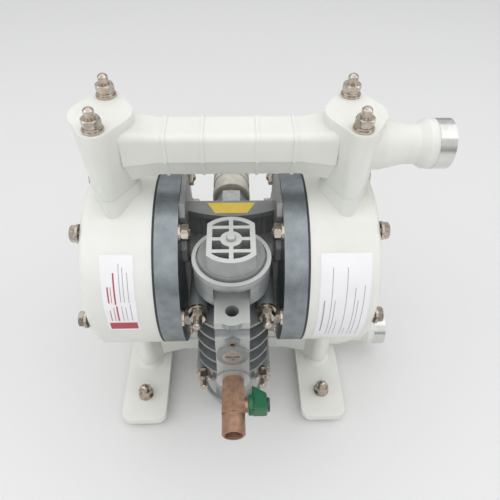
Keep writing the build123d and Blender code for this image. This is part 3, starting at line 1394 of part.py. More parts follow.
with BuildPart() as foot_studs:
    foot_tip_z = foot_top_z + washer_stack + nut_height + stud_tip
    stud = domed_rod(thread_r, foot_tip_z - foot_stud_root)
    with Locations((0, 0, foot_stud_root)):
        with GridLocations(2 * column_x, 2 * foot_stud_y, 2, 2):
            add(stud)
save(foot_studs, "foot_studs")

with BuildPart() as foot_washers:
    with Locations((0, 0, foot_top_z)):
        with GridLocations(2 * column_x, 2 * foot_stud_y, 2, 2):
            add(washers)
save(foot_washers, "foot_washers")

with BuildPart() as foot_nuts:
    with Locations((0, 0, foot_top_z + washer_stack)):
        with GridLocations(2 * column_x, 2 * foot_stud_y, 2, 2):
            add(nut)
save(foot_nuts, "foot_nuts")
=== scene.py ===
import logging
from dataclasses import dataclass
from enum import Enum
from math import cos, radians, sin, tau
from typing import Iterable, Sequence

import bmesh
import bpy
from mathutils import Matrix, Vector

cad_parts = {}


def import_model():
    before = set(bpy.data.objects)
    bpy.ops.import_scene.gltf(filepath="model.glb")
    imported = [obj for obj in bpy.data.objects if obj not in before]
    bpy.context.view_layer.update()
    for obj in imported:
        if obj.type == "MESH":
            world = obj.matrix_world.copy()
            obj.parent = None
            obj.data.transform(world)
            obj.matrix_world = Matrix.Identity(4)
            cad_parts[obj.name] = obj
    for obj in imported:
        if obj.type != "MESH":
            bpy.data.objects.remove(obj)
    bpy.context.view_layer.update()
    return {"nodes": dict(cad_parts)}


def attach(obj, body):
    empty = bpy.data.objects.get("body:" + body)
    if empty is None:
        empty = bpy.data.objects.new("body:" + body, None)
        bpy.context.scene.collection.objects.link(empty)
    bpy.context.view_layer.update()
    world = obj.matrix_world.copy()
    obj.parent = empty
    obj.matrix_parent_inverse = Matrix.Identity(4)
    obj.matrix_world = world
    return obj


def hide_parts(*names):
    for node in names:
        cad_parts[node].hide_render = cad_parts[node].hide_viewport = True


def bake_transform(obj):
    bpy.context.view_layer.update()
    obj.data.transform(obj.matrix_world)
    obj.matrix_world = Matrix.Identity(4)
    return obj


log = logging.getLogger("pump")

Span = tuple[float, float]
Point = tuple[float, float, float]

MM: float = 0.001           # one millimetre in scene metres
AIR_GAP: float = 0.01       # millimetres between a film and the face under it


# ------------------------------------------------------------------ named options
class Side(Enum):
    """Which of the pump's two sides, as the sign of its X."""

    LEFT = -1
    RIGHT = 1


class Axis(Enum):
    """An axis across which a cutter has faced a casting, with a painted highlight on the faced
    level.
    """

    Y = "Y"
    Z = "Z"


class Body(Enum):
    """The frame's bodies that carry pieces of the scene."""

    FRAME = "frame"
    SHUTOFF = "shutoff"
    BUTTON = "button"


class Slot(Enum):
    """Names of material slots, which the thread sets carry."""

    NATURAL_PLASTIC = "natural_plastic"
    WHITE_PLASTIC = "white_plastic"
    GREEN_PLASTIC = "green_plastic"
    DARK_PLASTIC = "dark_plastic"
    CAST_ALUMINIUM = "cast_aluminium"
    BRIGHT_STEEL = "bright_steel"
    STAINLESS = "stainless"
    BRONZE = "bronze"


class Ink(Enum):
    """The coats of a chamber's label, as the material numbers of its faces."""

    FILM = 0
    RED = 1
    GREY = 2


# ------------------------------------------------------------------ colours and nodes
def linear(hex_colour: str) -> tuple[float, float, float, float]:
    """Turn an sRGB hex colour into linear light.

    Args:
        hex_colour: Six digits after a hash.

    Returns:
        Red, green, blue and an alpha of 1, in linear light.
    """
    out = []
    for start in (1, 3, 5):
        value = int(hex_colour[start:start + 2], 16) / 255
        out.append(value / 12.92 if value <= 0.04045 else ((value + 0.055) / 1.055) ** 2.4)
    return out[0], out[1], out[2], 1.0


def add_node(tree: bpy.types.NodeTree, kind: str, links: dict[str | int, object] | None = None,
             **settings: object) -> bpy.types.Node:
    """Add a node with its settings, socket values and links.

    Args:
        tree: The material's or world's node tree.
        kind: Blender's node type, such as ShaderNodeBump.
        links: Input socket name or number, to a value or to another node's output socket.
        settings: Attributes of the node.

    Returns:
        The new node.
    """
    node = tree.nodes.new(kind)
    for name, value in settings.items():
        setattr(node, name, value)
    for name, value in (links or {}).items():
        socket = node.inputs[name]
        if isinstance(value, bpy.types.NodeSocket):
            tree.links.new(value, socket)
        else:
            socket.default_value = value
    return node


def ramp(tree: bpy.types.NodeTree, source: bpy.types.NodeSocket,
         stops: Sequence[tuple[float, str]]) -> bpy.types.NodeSocket:
    """Map a grey value to colours.

    Args:
        tree: The node tree.
        source: The grey value.
        stops: Two positions, each with its hex colour.

    Returns:
        The colour socket.
    """
    node = add_node(tree, "ShaderNodeValToRGB", {0: source})
    for element, (position, colour) in zip(node.color_ramp.elements, stops):
        element.position = position
        element.color = linear(colour)
    return node.outputs["Color"]


# ------------------------------------------------------------------ finishes
@dataclass(frozen=True)
class LitCut:
    """A level to which a cutter has faced a casting flat, whose faces take a paler colour that is
    also painted highlight.
    """

    axis: Axis
    level_mm: float


@dataclass(frozen=True)
class Finish:
    """What one surface is made of, and how it was made."""

    name: str
    colour: str
    mottle: str                     # second colour of the broad patches
    roughness: float
    metallic: float = 0.0
    mottle_mm: float = 18.0         # width of the broad patches
    mottle_levels: Span = (0.3, 0.72)   # noise levels at which each colour is full
    grain_mm: float = 0.8           # width of the skin's grains
    grain_height_mm: float = 0.02
    grain_levels: Span = (0.3, 0.7)     # noise levels of the smoothest and roughest grains
    roughness_spread: float = 0.06
    pit_mm: float = 0.0             # width of a second relief of pits, with none at 0
    pit_depth_mm: float = 0.0
    subsurface: float = 0.0         # share of the light that spreads under the skin
    subsurface_mm: float = 5.0
    subsurface_spread: Point = (1.0, 0.95, 0.8)     # red light goes farthest
    machined_lit_colour: str = ""              # colour of the faces that a cutter has cleaned, paler also as a painted highlight for the light on them
    machined_lit_levels: tuple[LitCut, ...] = ()
    lit_cut_tolerance_mm: float = 0.06

    def material(self) -> bpy.types.Material:
        """Build the node material, once.

        Returns:
            The material.
        """
        found = bpy.data.materials.get(self.name)
        if found:
            return found
        made = bpy.data.materials.new(self.name)
        made.use_nodes = True
        tree = made.node_tree
        tree.nodes.clear()
        place = add_node(tree, "ShaderNodeTexCoord").outputs["Object"]
        grain = self.noise(tree, place, self.grain_mm, detail=3.0, roughness=0.6)
        shader = add_node(tree, "ShaderNodeBsdfPrincipled", {
            "Metallic": self.metallic,
            "Base Color": self.skin_colour(tree, place),
            "Roughness": self.skin_roughness(tree, grain),
            "Normal": self.skin_relief(tree, place, grain)})
        if self.subsurface:
            shader.inputs["Subsurface Weight"].default_value = self.subsurface
            shader.inputs["Subsurface Radius"].default_value = self.subsurface_spread
            shader.inputs["Subsurface Scale"].default_value = self.subsurface_mm * MM
        add_node(tree, "ShaderNodeOutputMaterial", {"Surface": shader.outputs["BSDF"]})
        return made

    def noise(self, tree: bpy.types.NodeTree, place: bpy.types.NodeSocket, width_mm: float,
              detail: float, roughness: float) -> bpy.types.NodeSocket:
        """Make a cloudy pattern of a real size.

        Args:
            tree: The node tree.
            place: The object coordinates.
            width_mm: Width of its clouds.
            detail: Number of finer layers.
            roughness: Share of each finer layer.

        Returns:
            The grey value.
        """
        return add_node(tree, "ShaderNodeTexNoise", {
            "Vector": place, "Scale": 1 / (width_mm * MM), "Detail": detail,
            "Roughness": roughness}).outputs["Fac"]

    def skin_colour(self, tree: bpy.types.NodeTree,
                    place: bpy.types.NodeSocket) -> bpy.types.NodeSocket:
        """Make the colour, with its broad patches and its machined faces, whose paler colour is
        also painted highlight.

        Args:
            tree: The node tree.
            place: The object coordinates.

        Returns:
            The colour.
        """
        broad = self.noise(tree, place, self.mottle_mm, detail=4.0, roughness=0.55)
        colours = ramp(tree, broad, tuple(zip(self.mottle_levels, (self.colour, self.mottle))))
        if not self.machined_lit_levels:
            return colours
        # faces at a cut's level take the paler machined colour, which is also painted highlight
        # for the light on these front and top faces
        # the colour sockets of a Mix node are its inputs 6 and 7 and its output 2
        mix = add_node(tree, "ShaderNodeMix", {
            "Factor": self.machined_and_lit_faces(tree, place), 6: colours, 7: linear(self.machined_lit_colour)},
            data_type="RGBA")
        return mix.outputs[2]

    def machined_and_lit_faces(self, tree: bpy.types.NodeTree,
                place: bpy.types.NodeSocket) -> bpy.types.NodeSocket:
        """Find the faces that lie at the level of a cut, to be painted paler as machined faces
        with painted highlight.

        Args:
            tree: The node tree.
            place: The object coordinates.

        Returns:
            1 on a machined face and 0 elsewhere.
        """
        axes = add_node(tree, "ShaderNodeSeparateXYZ", {0: place})
        found = None
        for lit_cut in self.machined_lit_levels:
            level = add_node(tree, "ShaderNodeMath", {
                0: axes.outputs[lit_cut.axis.value], 1: lit_cut.level_mm * MM,
                2: self.lit_cut_tolerance_mm * MM}, operation="COMPARE").outputs[0]
            if found is not None:
                level = add_node(tree, "ShaderNodeMath", {0: level, 1: found},
                                 operation="MAXIMUM").outputs[0]
            found = level
        return found

    def skin_roughness(self, tree: bpy.types.NodeTree,
                       grain: bpy.types.NodeSocket) -> bpy.types.NodeSocket:
        """Let the grain vary the roughness a little.

        Args:
            tree: The node tree.
            grain: The grain's pattern.

        Returns:
            The roughness.
        """
        return add_node(tree, "ShaderNodeMapRange", {
            "Value": grain, "From Min": self.grain_levels[0], "From Max": self.grain_levels[1],
            "To Min": self.roughness - self.roughness_spread,
            "To Max": self.roughness + self.roughness_spread}).outputs["Result"]

    def skin_relief(self, tree: bpy.types.NodeTree, place: bpy.types.NodeSocket,
                    grain: bpy.types.NodeSocket) -> bpy.types.NodeSocket:
        """Raise the grain, and sink the pits of a cast or moulded skin.

        Args:
            tree: The node tree.
            place: The object coordinates.
            grain: The grain's pattern.

        Returns:
            The bent normal.
        """
        normal = add_node(tree, "ShaderNodeBump", {
            "Height": grain, "Distance": self.grain_height_mm * MM,
            "Strength": 1.0}).outputs["Normal"]
        if not self.pit_mm:
            return normal
        pits = add_node(tree, "ShaderNodeTexVoronoi", {
            "Vector": place, "Scale": 1 / (self.pit_mm * MM)})
        return add_node(tree, "ShaderNodeBump", {
            "Height": pits.outputs["Distance"], "Distance": self.pit_depth_mm * MM,
            "Strength": 1.0, "Normal": normal}).outputs["Normal"]


# Natural polypropylene, injection moulded and unpainted: pale, waxy and a little see-through, so
# light spreads under the skin and the edges glow. The mould's spark texture dulls the gloss; its
# grains of about 0.1 mm are too fine to show and are drawn at 1.6 mm.
POLYPROPYLENE = Finish(
    "moulded_natural_polypropylene", "#E9E9E4", "#E0E1DA", 0.4, mottle_mm=38.0, grain_mm=1.6,
    grain_height_mm=0.05, subsurface=0.3, pit_mm=6.0, pit_depth_mm=0.05)
# Aluminium, sand cast and shot blasted, under a thin blue-grey coating: a satin metal whose blast
# marks break up what it reflects. The marks are 0.3 mm wide, drawn at 0.7 mm so that they show.
RING_GREY = Finish(
    "shot_blasted_ring_casting", "#979DA0", "#7F868B", 0.32, metallic=0.9, mottle_mm=9.0,
    grain_mm=0.9, grain_height_mm=0.05, pit_mm=0.7, pit_depth_mm=0.03)
# Aluminium, sand cast: the sand leaves a coarse, dull, pitted skin, and a cutter has cleaned the
# flat faces to a paler grey. On these front and top faces that paler grey is also painted
# highlight, for the light that falls on them. Sand grains of 0.3 mm are drawn at 0.8 to 1 mm so
# that they show.
VALVE_CASTING = Finish(
    "sand_cast_valve_aluminium", "#9DA0A0", "#858A8C", 0.42, metallic=0.5, mottle_mm=9.0,
    grain_mm=1.0, grain_height_mm=0.12, pit_mm=0.8, pit_depth_mm=0.05, machined_lit_colour="#BFC1BE",
    machined_lit_levels=(LitCut(Axis.Y, -84.5), LitCut(Axis.Y, -86.0), LitCut(Axis.Z, 155.0)))
# The same casting without cut faces: its dull skin is a little browner and its patches broader.
BODY_CASTING = Finish(
    "sand_cast_body_aluminium", "#9A9B97", "#85878A", 0.44, metallic=0.4, mottle_mm=14.0,
    grain_mm=1.1, grain_height_mm=0.12, pit_mm=0.9, pit_depth_mm=0.05)
# Aluminium, die cast: smoother and lighter than the sand casting, with its raised rims ground
# bright. That paleness on their flat faces is also painted highlight, for the light that falls on
# them.
# Its real grain is too fine to show, and is drawn at 0.7 to 0.9 mm.
CAP_CASTING = Finish(
    "die_cast_cap_aluminium", "#A9ABA9", "#9A9D9D", 0.4, metallic=0.4, mottle_mm=8.0,
    grain_mm=0.9, grain_height_mm=0.07, pit_mm=0.7, pit_depth_mm=0.03, machined_lit_colour="#D2D3D1",
    machined_lit_levels=(LitCut(Axis.Z, 189.0), LitCut(Axis.Z, 187.0), LitCut(Axis.Z, 172.0), LitCut(Axis.Z, 22.0)))
# Stainless steel, cold formed into nuts, bolts and washers: bright and slightly warm. Its drawn
# lines are far below 0.1 mm, and a 0.5 mm grain stands for them.
STAINLESS = Finish(
    "cold_formed_stainless_steel", "#D6CDC2", "#A3968A", 0.2, metallic=1.0, mottle_mm=3.0,
    grain_mm=0.5, grain_height_mm=0.01)
# Stainless steel strip, rolled: smooth and whiter than the fasteners, with broad reflections.
RING_STEEL = Finish(
    "rolled_stainless_band", "#E0E0DC", "#D2D2CD", 0.2, metallic=1.0, mottle_mm=6.0,
    grain_mm=0.6, grain_height_mm=0.006)
# Bronze, sand cast and turned: a warm metal under a dull, patchy brown skin.
BRONZE = Finish(
    "cast_bronze", "#B5917A", "#8C6E5A", 0.4, metallic=0.8, mottle_mm=4.0, grain_mm=0.6,
    grain_height_mm=0.04)
# Glass-filled nylon, moulded and coloured through: a deep, even green with a satin sheen.
GREEN_LEVER = Finish(
    "moulded_green_nylon", "#1C6040", "#1D6642", 0.32, mottle_mm=5.0, grain_mm=0.5,
    grain_height_mm=0.01)
# Acetal, moulded: dark, hard and slightly glossy.
DARK_PLASTIC = Finish("moulded_dark_acetal", "#46504C", "#3B4440", 0.36, mottle_mm=4.0)
# Nitrile rubber, moulded: black and matt, with a soft wide highlight.
BLACK_RUBBER = Finish("moulded_black_rubber", "#242526", "#2D2E2F", 0.62, mottle_mm=5.0)
# Fluoropolymer, turned from bar: an opaque, greasy white.
WHITE_PLASTIC = Finish("turned_white_fluoropolymer", "#E4E2DB", "#DCDAD2", 0.35, mottle_mm=5.0)
# Rubber sheet with a smooth pressed face: dark grey, and less matt than the moulded pieces.
DIAPHRAGM_RUBBER = Finish("faced_diaphragm_sheet", "#2C2E2F", "#36383A", 0.55, mottle_mm=9.0)
# Steel, ground: a cool bright metal with a light haze.
GROUND_STEEL = Finish(
    "ground_steel", "#C2C3C1", "#B2B3B1", 0.24, metallic=1.0, mottle_mm=4.0)
# Aluminium, turned: paler than steel, its tool marks soften what it reflects.
TURNED_DISC = Finish(
    "turned_aluminium_disc", "#BDBFC0", "#AEB0B1", 0.3, metallic=1.0, mottle_mm=6.0)
# Steel, zinc plated: light grey, with a cloudy bloom.
ZINC = Finish(
    "zinc_plated_steel", "#CFD0CD", "#B4B5B1", 0.32, metallic=0.8, mottle_mm=3.0, grain_mm=0.5,
    grain_height_mm=0.015)
# Polyethylene beads, sintered in a mould: chalky, with open pores. The beads are 0.3 mm wide,
# drawn at 0.7 mm so that they show.
SILENCER = Finish(
    "porous_moulded_polyethylene", "#D9D6CB", "#C2BFB3", 0.66, mottle_mm=6.0, grain_mm=0.7,
    grain_height_mm=0.08)
# Polyester label film, coated and printed: flat, smooth and a little glossy, in four colours.
LABEL_FILM = Finish(
    "printed_white_label_film", "#F3F2F4", "#EEEDF0", 0.33, mottle_mm=14.0, grain_mm=2.5,
    grain_height_mm=0.01)
LABEL_RED = Finish(
    "red_label_print", "#B54A57", "#AC414E", 0.36, mottle_mm=8.0, grain_mm=2.5,
    grain_height_mm=0.01)
LABEL_GREY = Finish(
    "grey_label_print", "#9A9CA2", "#A8A9AE", 0.36, mottle_mm=3.0, grain_mm=2.5,
    grain_height_mm=0.01)
YELLOW_FILM = Finish(
    "yellow_label_film", "#F0D255", "#E8C848", 0.4, mottle_mm=4.0, grain_mm=1.2,
    grain_height_mm=0.02)

# The shut-off's stem and all screws, studs, bolts, nuts and washers aren't listed. They take the
# stainless steel.
FINISH_NODES: dict[Finish, tuple[str, ...]] = {
    POLYPROPYLENE: ("discharge_manifold", "inlet_manifold", "fluid_chamber_left",
                    "fluid_chamber_right"),
    RING_GREY: ("air_chamber_left", "air_chamber_right"),
    BODY_CASTING: ("centre_body",),
    VALVE_CASTING: ("valve_body",),
    CAP_CASTING: ("upper_cap", "lower_cap", "reset_button"),
    DIAPHRAGM_RUBBER: ("diaphragm_left", "diaphragm_right"),
    GROUND_STEEL: ("centre_rod", "pilot_rod", "spool", "valve_sleeve", "reset_spring",
                   "small_plug"),
    TURNED_DISC: ("inner_discs", "outer_discs"),
    RING_STEEL: ("port_ring_upper", "port_ring_lower"),
    BLACK_RUBBER: ("cap_seals", "rod_seals", "seat_o_rings", "foot_cushions", "valve_gasket"),
    WHITE_PLASTIC: ("rod_bushes", "shutoff_seats", "valve_seats", "ball_cages",
                    "discharge_ball_left", "discharge_ball_right", "inlet_ball_left",
                    "inlet_ball_right"),
    BRONZE: ("shutoff_body", "shutoff_end", "shutoff_ball"),
    GREEN_LEVER: ("shutoff_lever",),
    DARK_PLASTIC: ("lever_screw",),
    ZINC: ("large_plug", "exhaust_bushing"),
    SILENCER: ("silencer_body", "silencer_core"),
}


def dress_frame(nodes: dict[str, bpy.types.Object]) -> None:
    """Give every CAD node its finish.

    Args:
        nodes: The frame's objects by name.
    """
    finishes = {name: finish for finish, names in FINISH_NODES.items() for name in names}
    for name, piece in nodes.items():
        finish = finishes.get(name, STAINLESS)
        piece.data.materials.clear()
        piece.data.materials.append(finish.material())
        log.info("%s: %s", name, finish.name)


# ------------------------------------------------------------------ making pieces
def round_edges(shape: bmesh.types.BMesh, edges: Iterable[bmesh.types.BMEdge], radius: float,
                segments: int) -> None:
    """Round some edges of a mesh.

    Args:
        shape: The mesh.
        edges: The edges to round.
        radius: How far the rounding reaches, in mm.
        segments: Number of facets across it.
    """
    bmesh.ops.bevel(shape, geom=list(edges), offset=radius * MM, offset_type="OFFSET",
                    segments=segments, profile=0.5, affect="EDGES", material=-1)


def edges_of(verts: Iterable[bmesh.types.BMVert]) -> list[bmesh.types.BMEdge]:
    """Collect the edges that meet at some vertices, each once and in a steady order."""
    return list(dict.fromkeys(edge for vert in verts for edge in vert.link_edges))


def finish_piece(shape: bmesh.types.BMesh, name: str, finishes: Sequence[Finish],
                 body: Body | None, smooth: bool = False) -> bpy.types.Object:
    """Turn a finished bmesh into a piece of the scene.

    Args:
        shape: The mesh, in metres, already in its place.
        name: The piece's name.
        finishes: Materials, in the order of the faces' material numbers.
        body: The body that it rides on, or none for a piece that rides on no body.
        smooth: Whether the faces are shaded smooth.

    Returns:
        The new object.
    """
    bmesh.ops.remove_doubles(shape, verts=shape.verts, dist=0.001 * MM)
    bmesh.ops.recalc_face_normals(shape, faces=shape.faces)
    for face in shape.faces:
        face.smooth = smooth
    mesh = bpy.data.meshes.new(name)
    shape.to_mesh(mesh)
    shape.free()
    for finish in finishes:
        mesh.materials.append(finish.material())
    piece = bpy.data.objects.new(name, mesh)
    bpy.context.scene.collection.objects.link(piece)
    if body:
        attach(piece, body.value)
    log.info("%s: %d faces on %s", name, len(mesh.polygons), body.value if body else "two bodies")
    return piece


# ------------------------------------------------------------------ labels
@dataclass(frozen=True)
class PrintedLine:
    """One ruled line of a label, as shares of the label's width and length."""

    across: float
    start: float
    end: float
    width_mm: float = 0.45
    ink: Ink = Ink.GREY


@dataclass(frozen=True)
class ChamberLabel:
    """A plain ruled label wrapped round a fluid chamber. Its sizes are in mm."""

    side: Side
    x: Span
    angles: Span                    # degrees from the top towards the front
    lines: tuple[PrintedLine, ...]
    red_band: Span | None = None    # angles of a solid band across the label
    band_margins: Span = (1.6, 1.2)
    chamber_radius: float = 64.75
    axis_z: float = 126.8           # height of the rod's axis
    film: float = 0.12
    ink: float = 0.04
    facet_degrees: float = 2.5

    def arc_band(self, shape: bmesh.types.BMesh, x: Span, radii: Span, angles: Span,
                 ink: Ink) -> None:
        """Lay a thin band round the chamber: a rectangle spun about the rod's axis.

        Args:
            shape: The mesh to add to.
            x: Start and end along the rod.
            radii: Inner and outer radius.
            angles: Start and end, in degrees.
            ink: The coat of its faces.
        """
        start = radians(angles[0])
        sweep = radians(angles[1] - angles[0])
        corners = ((x[0], radii[0]), (x[1], radii[0]), (x[1], radii[1]), (x[0], radii[1]))
        verts = [shape.verts.new(Vector((along, -radius * sin(start),
                                         self.axis_z + radius * cos(start))) * MM)
                 for along, radius in corners]
        face = shape.faces.new(verts)
        face.material_index = ink.value     # the spin hands it on to the faces that it makes
        steps = max(2, round((angles[1] - angles[0]) / self.facet_degrees))
        bmesh.ops.spin(shape, geom=[face, *face.edges, *verts],
                       cent=Vector((0, 0, self.axis_z)) * MM, axis=(1, 0, 0), angle=sweep,
                       steps=steps)

    def build(self) -> bpy.types.Object:
        """Make the film with its ruled lines.

        Returns:
            The label.
        """
        shape = bmesh.new()
        film_radii = (self.chamber_radius + AIR_GAP, self.chamber_radius + self.film)
        ink_radii = (film_radii[1] - AIR_GAP, film_radii[1] + self.ink)
        self.arc_band(shape, self.x, film_radii, self.angles, Ink.FILM)
        length = self.angles[1] - self.angles[0]
        width = self.x[1] - self.x[0]
        for line in self.lines:
            middle = self.x[0] + line.across * width
            self.arc_band(
                shape, (middle - line.width_mm / 2, middle + line.width_mm / 2), ink_radii,
                (self.angles[0] + line.start * length, self.angles[0] + line.end * length),
                line.ink)
        if self.red_band:
            self.arc_band(
                shape, (self.x[0] + self.band_margins[0], self.x[1] - self.band_margins[1]),
                ink_radii, self.red_band, Ink.RED)
        return finish_piece(shape, f"chamber_label_{self.side.name.lower()}",
                            (LABEL_FILM, LABEL_RED, LABEL_GREY), Body.FRAME)


LEFT_LABEL = ChamberLabel(
    Side.LEFT, (-82.4, -61.6), (43.5, 94.5),
    (PrintedLine(0.18, 0.36, 0.56, 0.9, Ink.RED), PrintedLine(0.27, 0.36, 0.56, 0.4, Ink.RED),
     PrintedLine(0.38, 0.2, 0.58, 1.0, Ink.RED), PrintedLine(0.55, 0.1, 0.55),
     PrintedLine(0.66, 0.14, 0.55), PrintedLine(0.8, 0.2, 0.56),
     PrintedLine(0.18, 0.66, 0.82, 0.5, Ink.RED), PrintedLine(0.3, 0.62, 0.82, 0.4, Ink.RED),
     PrintedLine(0.4, 0.6, 0.82, 1.0, Ink.RED), PrintedLine(0.55, 0.6, 0.82),
     PrintedLine(0.67, 0.62, 0.82), PrintedLine(0.82, 0.58, 0.82)),
    red_band=(87.0, 93.0))
RIGHT_LABEL = ChamberLabel(
    Side.RIGHT, (56.8, 89.6), (44.0, 112.0),
    (PrintedLine(0.1, 0.42, 0.82, 0.9), PrintedLine(0.24, 0.12, 0.9),
     PrintedLine(0.31, 0.42, 0.9), PrintedLine(0.39, 0.66, 0.9), PrintedLine(0.53, 0.12, 0.9),
     PrintedLine(0.6, 0.78, 0.9), PrintedLine(0.7, 0.3, 0.9), PrintedLine(0.77, 0.42, 0.9),
     PrintedLine(0.88, 0.28, 0.9)))


@dataclass(frozen=True)
class PlateSticker:
    """The yellow trapezoid on the centre body's upper plate. Its sizes are in mm."""

    plate_z: float = 172.0
    back_y: float = 7.0
    front_y: float = -4.0
    back_half: float = 16.9
    front_half: float = 11.2
    film: float = 0.14
    cells: tuple[int, int] = (6, 2)

    def build(self) -> bpy.types.Object:
        """Make the sticker.

        Returns:
            The sticker.
        """
        shape = bmesh.new()
        bmesh.ops.create_grid(shape, x_segments=self.cells[0], y_segments=self.cells[1], size=1.0)
        for vert in shape.verts:
            share = (vert.co.y + 1) / 2     # 0 at the front edge and 1 at the back
            half = self.front_half + (self.back_half - self.front_half) * share
            vert.co = Vector((vert.co.x * half,
                              self.front_y + (self.back_y - self.front_y) * share,
                              self.plate_z + AIR_GAP)) * MM
        grown = bmesh.ops.extrude_face_region(shape, geom=list(shape.faces))
        raised = [item for item in grown["geom"] if isinstance(item, bmesh.types.BMVert)]
        bmesh.ops.translate(shape, verts=raised, vec=(0, 0, self.film * MM))
        return finish_piece(shape, "plate_sticker", (YELLOW_FILM,), Body.FRAME)


# ------------------------------------------------------------------ shut-off, webs and spring
@dataclass(frozen=True)
class ShutoffLever:
    """The green lever, with a grip that slopes away at its back, and its screw's cap, in mm."""

    axis_y: float = -104.5
    axis_z: float = 90.0
    hub_x: Span = (9.9, 13.2)
    hub_radius: float = 6.9
    hub_rim: float = 0.7
    grip_x: Span = (12.6, 22.6)
    front: float = 5.9              # reach in front of the stem
    back: float = 12.6              # reach behind the stem, at the hub
    back_outer: float = 6.6         # reach behind the stem, at the cap
    half: float = 5.5               # half height at the front
    half_back: float = 4.2
    grip_rim: float = 1.3
    cap_x: Span = (22.4, 24.2)
    cap_radius: float = 4.7
    cap_rim: float = 0.5
    disc_sides: int = 48

    def disc(self, shape: bmesh.types.BMesh, x: Span, radius: float, rim: float) -> None:
        """Add a disc with rounded rims, square to the stem.

        Args:
            shape: The mesh to add to.
            x: Start and end along the stem.
            radius: The disc's radius.
            rim: Rounding of its rims.
        """
        middle = Vector(((x[0] + x[1]) / 2, self.axis_y, self.axis_z)) * MM
        made = bmesh.ops.create_cone(
            shape, cap_ends=True, segments=self.disc_sides, radius1=radius * MM,
            radius2=radius * MM, depth=(x[1] - x[0]) * MM,
            matrix=Matrix.Translation(middle) @ Matrix.Rotation(tau / 4, 4, "Y"))
        rims = [edge for edge in edges_of(made["verts"])
                if abs(edge.verts[0].co.x - edge.verts[1].co.x) < 0.0001 * MM]
        round_edges(shape, rims, rim, segments=3)

    def grip(self, shape: bmesh.types.BMesh) -> None:
        """Add the grip: a block whose back slopes towards the cap.

        Args:
            shape: The mesh to add to.
        """
        made = bmesh.ops.create_cube(shape, size=1.0)
        for vert in made["verts"]:
            outer, rear, up = vert.co.x > 0, vert.co.y > 0, vert.co.z > 0
            reach = (self.back_outer if outer else self.back) if rear else -self.front
            half = self.half_back if rear else self.half
            vert.co = Vector((self.grip_x[outer], self.axis_y + reach,
                              self.axis_z + (half if up else -half))) * MM
        round_edges(shape, edges_of(made["verts"]), self.grip_rim, segments=3)

    def build(self) -> None:
        """Make the lever and its cap, in the places of the CAD's lever and screw."""
        shape = bmesh.new()
        self.disc(shape, self.hub_x, self.hub_radius, self.hub_rim)
        self.grip(shape)
        lever = finish_piece(shape, "sloped_lever", (GREEN_LEVER,), Body.SHUTOFF)
        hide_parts("shutoff_lever")
        shape = bmesh.new()
        self.disc(shape, self.cap_x, self.cap_radius, self.cap_rim)
        cap = finish_piece(shape, "lever_cap", (DARK_PLASTIC,), Body.SHUTOFF)
        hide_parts("lever_screw")


@dataclass(frozen=True)
class SideWebs:
    """Cast webs that close the centre body's back wall against its flanges, in mm."""

    x: Span = (24.8, 30.0)
    y: Span = (2.0, 7.9)
    z: Span = (86.0, 168.2)
    rounding: float = 0.6

    def build(self) -> bpy.types.Object:
        """Make both webs.

        Returns:
            The piece.
        """
        shape = bmesh.new()
        height = (self.z[1] - self.z[0]) * MM
        for side in Side:
            made = bmesh.ops.create_cube(shape, size=1.0)
            for vert in made["verts"]:
                vert.co = Vector((side.value * self.x[vert.co.x > 0], self.y[vert.co.y > 0],
                                  self.z[vert.co.z > 0])) * MM
            upright = [edge for edge in edges_of(made["verts"])
                       if abs(edge.verts[0].co.z - edge.verts[1].co.z) > height / 2]
            round_edges(shape, upright, self.rounding, segments=2)
        return finish_piece(shape, "centre_side_webs", (BODY_CASTING,), Body.FRAME)


@dataclass(frozen=True)
class ButtonSpring:
    """The coil spring under the push button, in mm."""

    centre_y: float = -45.0
    z: Span = (163.3, 168.4)
    radius: float = 7.6
    wire: float = 0.3               # radius of the wire
    wire_sides: int = 8
    turns: float = 2.5
    steps_a_turn: int = 40

    def build(self) -> bpy.types.Object:
        """Make the spring and hold it between the sleeve and the button.

        Returns:
            The piece.
        """
        shape = bmesh.new()
        start, end = (Vector((0, self.centre_y, z)) * MM for z in self.z)
        bmesh.ops.create_circle(
            shape, cap_ends=True, segments=self.wire_sides, radius=self.wire * MM,
            matrix=(Matrix.Translation(start + Vector((self.radius, 0, 0)) * MM)
                    @ Matrix.Rotation(tau / 4, 4, "X")))
        steps = round(self.turns * self.steps_a_turn)
        bmesh.ops.spin(shape, geom=[*shape.verts, *shape.edges, *shape.faces], cent=start,
                       axis=(0, 0, 1), dvec=(end - start) / steps, angle=tau * self.turns,
                       steps=steps)
        spring = finish_piece(shape, "button_spring", (GROUND_STEEL,), None,
                              smooth=True)
        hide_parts("reset_spring")
        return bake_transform(spring)


# ------------------------------------------------------------------ threads
@dataclass(frozen=True)
class ThreadRun:
    """One helical thread, standing out from a stud or into a port, in mm."""

    start: Point
    axis: Point
    length: float
    root: float                     # radius at the foot of the ridge
    crest: float                    # radius at its top
    pitch: float
    steps: int = 24                 # facets to a turn
    crest_at: float = 0.5           # shares of the pitch at which the ridge peaks and ends
    foot_at: float = 0.95

    def add_to(self, shape: bmesh.types.BMesh) -> None:
        """Spin the thread's ridge along its helix.

        Args:
            shape: The mesh to add to.
        """
        along = Vector(self.axis).normalized()
        across = along.orthogonal().normalized()
        start = Vector(self.start)
        turns = self.length / self.pitch - 1
        profile = ((0.0, self.root), (self.pitch * self.crest_at, self.crest),
                   (self.pitch * self.foot_at, self.root))
        verts = [shape.verts.new((start + along * rise + across * radius) * MM)
                 for rise, radius in profile]
        edges = [shape.edges.new(pair) for pair in zip(verts, verts[1:])]
        steps = round(turns * self.steps)
        bmesh.ops.spin(shape, geom=[*verts, *edges], cent=start * MM, axis=along,
                       dvec=along * (self.pitch * turns / steps) * MM, angle=tau * turns,
                       steps=steps)


